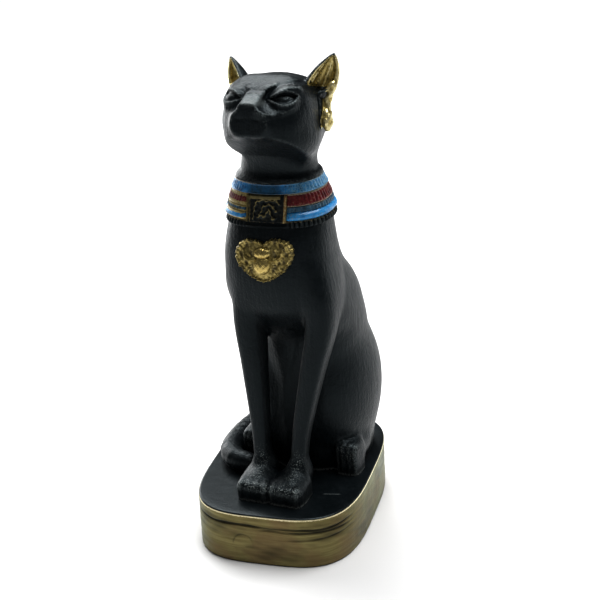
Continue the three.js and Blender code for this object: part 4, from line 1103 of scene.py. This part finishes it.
def finish_band(name, main, deep, rim, low_rim, high_rim, cast=None, rough=0.3):
    """A painted band: its colour wears to tan in random patches, and pale rims run along both edges."""
    f = Finish(name, Specular_IOR_Level=0.5)
    across = f.mark("across")
    patch = f.noise(f.place(), 0.9, 4)
    grain = f.noise(f.place(), 3.4, 3)
    colour = f.colours(f.step(patch, 0.3, 0.62), deep, main)
    worn = f.step(grain + (patch - 0.5) * 0.8, 0.62, 0.78)
    colour = f.colours(worn * 0.7, colour, TAN)
    uneven = (grain - 0.5) * 0.2 + (patch - 0.5) * 0.12
    inside = f.within(across + uneven, low_rim - 0.05, low_rim, high_rim, high_rim + 0.05)
    colour = f.colours(1 - inside, colour, f.colours(patch, rim, TAN))
    if cast:
        colour = cast(f, colour, patch, grain)
    f.set(Base_Color=colour, Roughness=rough + (grain - 0.5) * 0.2)
    f.bump(grain * 0.5 + patch * 0.5, 0.12)
    return f.material


def worn_in_front(f, colour, patch, grain):
    """The top band is duller in the middle of the front and dusty in flecks at the cat's left."""
    around = f.mark("around")
    middle = f.within(around, -0.65, -0.4, 0.3, 0.55)
    colour = f.colours(middle * (0.45 + f.step(patch, 0.4, 0.6) * 0.45), colour, (0.008, 0.045, 0.075))
    left = f.step(around, 0.45, 0.8)
    return f.colours(left * f.step(grain, 0.38, 0.58) * 0.75, colour, (0.17, 0.37, 0.50))


def gold_on_right(f, colour, patch, grain):
    """The cat's right side of a band, next to the plate, is smeared with gold."""
    around = f.mark("around")
    there = f.within(around, -1.32, -1.18, -0.52, -0.45)
    rims = 1 - f.within(f.mark("across"), 0.25, 0.4, 0.62, 0.8)
    smear = f.step(rims * 0.6 + grain * 0.5 + (patch - 0.5) * 1.1, 0.48, 0.7)
    gap = there * (1 - f.step(patch, 0.34, 0.44)) * 0.85
    smeared = f.colours(there * smear, colour, (0.36, 0.29, 0.11))
    return f.colours(gap, smeared, (0.02, 0.018, 0.012))


def finish_plate():
    """Black with gold worn off its raised lines, and a red gold bar at the cat's left."""
    f, colour, rough, _, grain = black_paint("plate_paint")
    patch = f.noise(f.place(), 1.6, 4)
    colour = f.colours(f.step(patch, 0.45, 0.6) * 0.5, colour, (0.05, 0.045, 0.03))
    brass = f.colours(patch, (0.10, 0.08, 0.035), (0.32, 0.27, 0.13))
    edge = f.step(f.mark("gold") + (patch - 0.5) * 0.7, 0.35, 0.6)
    colour = f.colours(edge, colour, brass)
    barred = f.step(f.mark("bar"), 0.4, 0.6)
    red_gold = f.colours(f.step(grain, 0.4, 0.6), (0.30, 0.17, 0.07), (0.46, 0.39, 0.20))
    colour = f.colours(barred, colour, red_gold)
    f.set(Base_Color=colour, Metallic=f.clip(edge + barred) * 0.5, Roughness=rough)
    f.bump(grain, 0.06)
    return f.material


def finish_pendant():
    """Gold with a painted highlight of paler gold on the beetle's domes, and dark between the feathers."""
    f = Finish("gold_paint", Specular_IOR_Level=0.5)
    patch = f.noise(f.place(), 1.3, 4)
    grain = f.noise(f.place(), 3.0, 3)
    recess = f.mark("recess")
    raised = f.step(f.mark("height"), 1.0, 1.6)
    brass = f.colours(f.step(patch, 0.35, 0.65), (0.24, 0.19, 0.065), GOLD)
    # painted highlight: the raised domes turn to a paler gold
    brass = f.colours(raised * 0.45, brass, (0.74, 0.57, 0.22))
    colour = f.colours(f.clip(recess * 0.7 + (grain - 0.55) * 0.7), brass, (0.03, 0.024, 0.01))
    rough = 0.36 - raised * 0.1 + (grain - 0.5) * 0.3
    f.set(Base_Color=colour, Metallic=0.85 - recess * 0.5, Roughness=rough)
    f.bump(grain * 0.6 + patch * 0.4, 0.09)
    return f.material


def finish_fringe():
    """Black teeth, paler on their crests as rubbed paint and a painted highlight, with a tan smear under the
    band above that is also partly a painted highlight.
    """
    f, colour, rough, _, grain = black_paint("fringe_paint")
    # pale crests: rubbed paint and a painted highlight on the teeth's tops
    crest = f.step(f.mark("rise"), 0.55, 0.95) * f.step(grain, 0.3, 0.6)
    colour = f.colours(crest * 0.35, colour, RUBBED_AND_SHEEN)
    # tan along the upper edge: tan paint and a painted highlight
    smear = f.step(f.mark("across") + (grain - 0.5) * 0.5, 0.7, 0.85)
    colour = f.colours(smear * 0.75, colour, TAN)
    f.set(Base_Color=colour, Roughness=rough)
    f.bump(grain, 0.06)
    return f.material


blue = finish_band("blue_paint", BLUE_BRIGHT, BLUE_DEEP, (0.40, 0.37, 0.28), 0.13, 0.88, worn_in_front)
red = finish_band("red_paint", DARK_RED, (0.06, 0.006, 0.008), (0.44, 0.37, 0.28), 0.15, 0.85, gold_on_right)
tube = finish_band(
    "tube_paint", (0.05, 0.30, 0.60), (0.03, 0.19, 0.44), BLUE_BRIGHT, -0.2, 1.2, gold_on_right, 0.26
)
reeds = finish_band("reed_paint", (0.05, 0.13, 0.20), (0.02, 0.05, 0.08), TAN, -0.2, 0.9, gold_on_right)
SKINS = (
    (cat_body, finish_body(), "black_paint"),
    (base, finish_base(), "gold_paint"),
    (bands["collar_fringe"], finish_fringe(), "black_paint"),
    (bands["collar_tube"], tube, "blue_paint"),
    (bands["collar_reeds"], reeds, "blue_paint"),
    (bands["collar_red"], red, "red_paint"),
    (bands["collar_blue"], blue, "blue_paint"),
    (plate, finish_plate(), "black_paint"),
    (pendant, finish_pendant(), "gold_paint"),
)
for piece, material, slot in SKINS:
    piece.data.materials.append(material)
    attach(piece, "root")
    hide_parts("cat_figure_on_base")

# ---- camera ----
EYE = (0.093816, -0.307298, 0.186754)
AZIMUTH, ELEVATION, ROLL = (math.radians(v) for v in (16.35, 21.72, 2.75))
FOCAL_PX, FRAME_PX, SENSOR = 1380.04, 600, 36


def stand(name, made, axes, place):
    """Stands a camera or lamp at a place; its three axes are given in the scene's, and it looks along -Z."""
    thing = bpy.data.objects.new(name, made)
    pose = np.eye(4)
    pose[:3] = np.stack([*axes, place], axis=1)
    thing.matrix_world = Matrix(pose.tolist())
    bpy.context.scene.collection.objects.link(thing)
    return thing


back = np.array([
    math.sin(AZIMUTH) * math.cos(ELEVATION), -math.cos(AZIMUTH) * math.cos(ELEVATION), math.sin(ELEVATION)
])
right = np.array([math.cos(AZIMUTH), math.sin(AZIMUTH), 0])
upward = np.cross(back, right)
camera_x = right * math.cos(ROLL) - upward * math.sin(ROLL)
camera_y = right * math.sin(ROLL) + upward * math.cos(ROLL)
lens = bpy.data.cameras.new("camera")
lens.sensor_width, lens.lens, lens.clip_start = SENSOR, FOCAL_PX / FRAME_PX * SENSOR, 0.01
bpy.context.scene.camera = stand("camera", lens, (camera_x, camera_y, back), EYE)

# ---- floor and light ----
FLOOR_REACH, MIDDLE = 6.0, (0.0, 0.0, 0.06)  # m
floor_mesh = bpy.data.meshes.new("floor")
corners = [(x * FLOOR_REACH, y * FLOOR_REACH, 0) for x, y in ((-1, -1), (1, -1), (1, 1), (-1, 1))]
floor_mesh.from_pydata(corners, [], [(0, 1, 2, 3)])
floor = bpy.data.objects.new("floor", floor_mesh)
bpy.context.scene.collection.objects.link(floor)
paper = Finish("floor", Roughness=0.9, Specular_IOR_Level=0.1)
# painted light: the paper is painted paler far behind the figure, where little light reaches it
away = paper.node("ShaderNodeVectorMath", {"operation": "LENGTH"}, {0: paper.place()}, out="Value")
paper.set(Base_Color=paper.colours(paper.step(away, 450, 900), (0.64, 0.64, 0.64), (0.97, 0.97, 0.97)))
floor_mesh.materials.append(paper.material)


def softbox(name, place, size, power):
    """A square area light that looks at the figure's middle."""
    lamp = bpy.data.lights.new(name, "AREA")
    lamp.shape, lamp.size, lamp.energy = "SQUARE", size, power
    away = np.array(place) - MIDDLE
    away /= np.linalg.norm(away)
    flat = np.cross((0, 0, 1), away)
    flat /= np.linalg.norm(flat)
    stand(name, lamp, (flat, np.cross(away, flat), away), place)


softbox("main", (-0.31, 0.43, 0.78), 0.5, 9.0)
softbox("top", (0.15, 0.05, 1.0), 0.5, 13.0)
softbox("left", (-0.40, 0.31, 0.13), 0.3, 1.7)
softbox("right", (0.42, 0.36, 0.16), 0.28, 0.8)
world = bpy.data.worlds.new("world")
world.use_nodes = True
sky = world.node_tree.nodes["Background"].inputs
sky["Color"].default_value, sky["Strength"].default_value = (1, 1, 1, 1), 0.15
bpy.context.scene.world = world
bpy.context.scene.view_settings.view_transform = "Standard"
bpy.context.scene.view_settings.gamma = 0.8
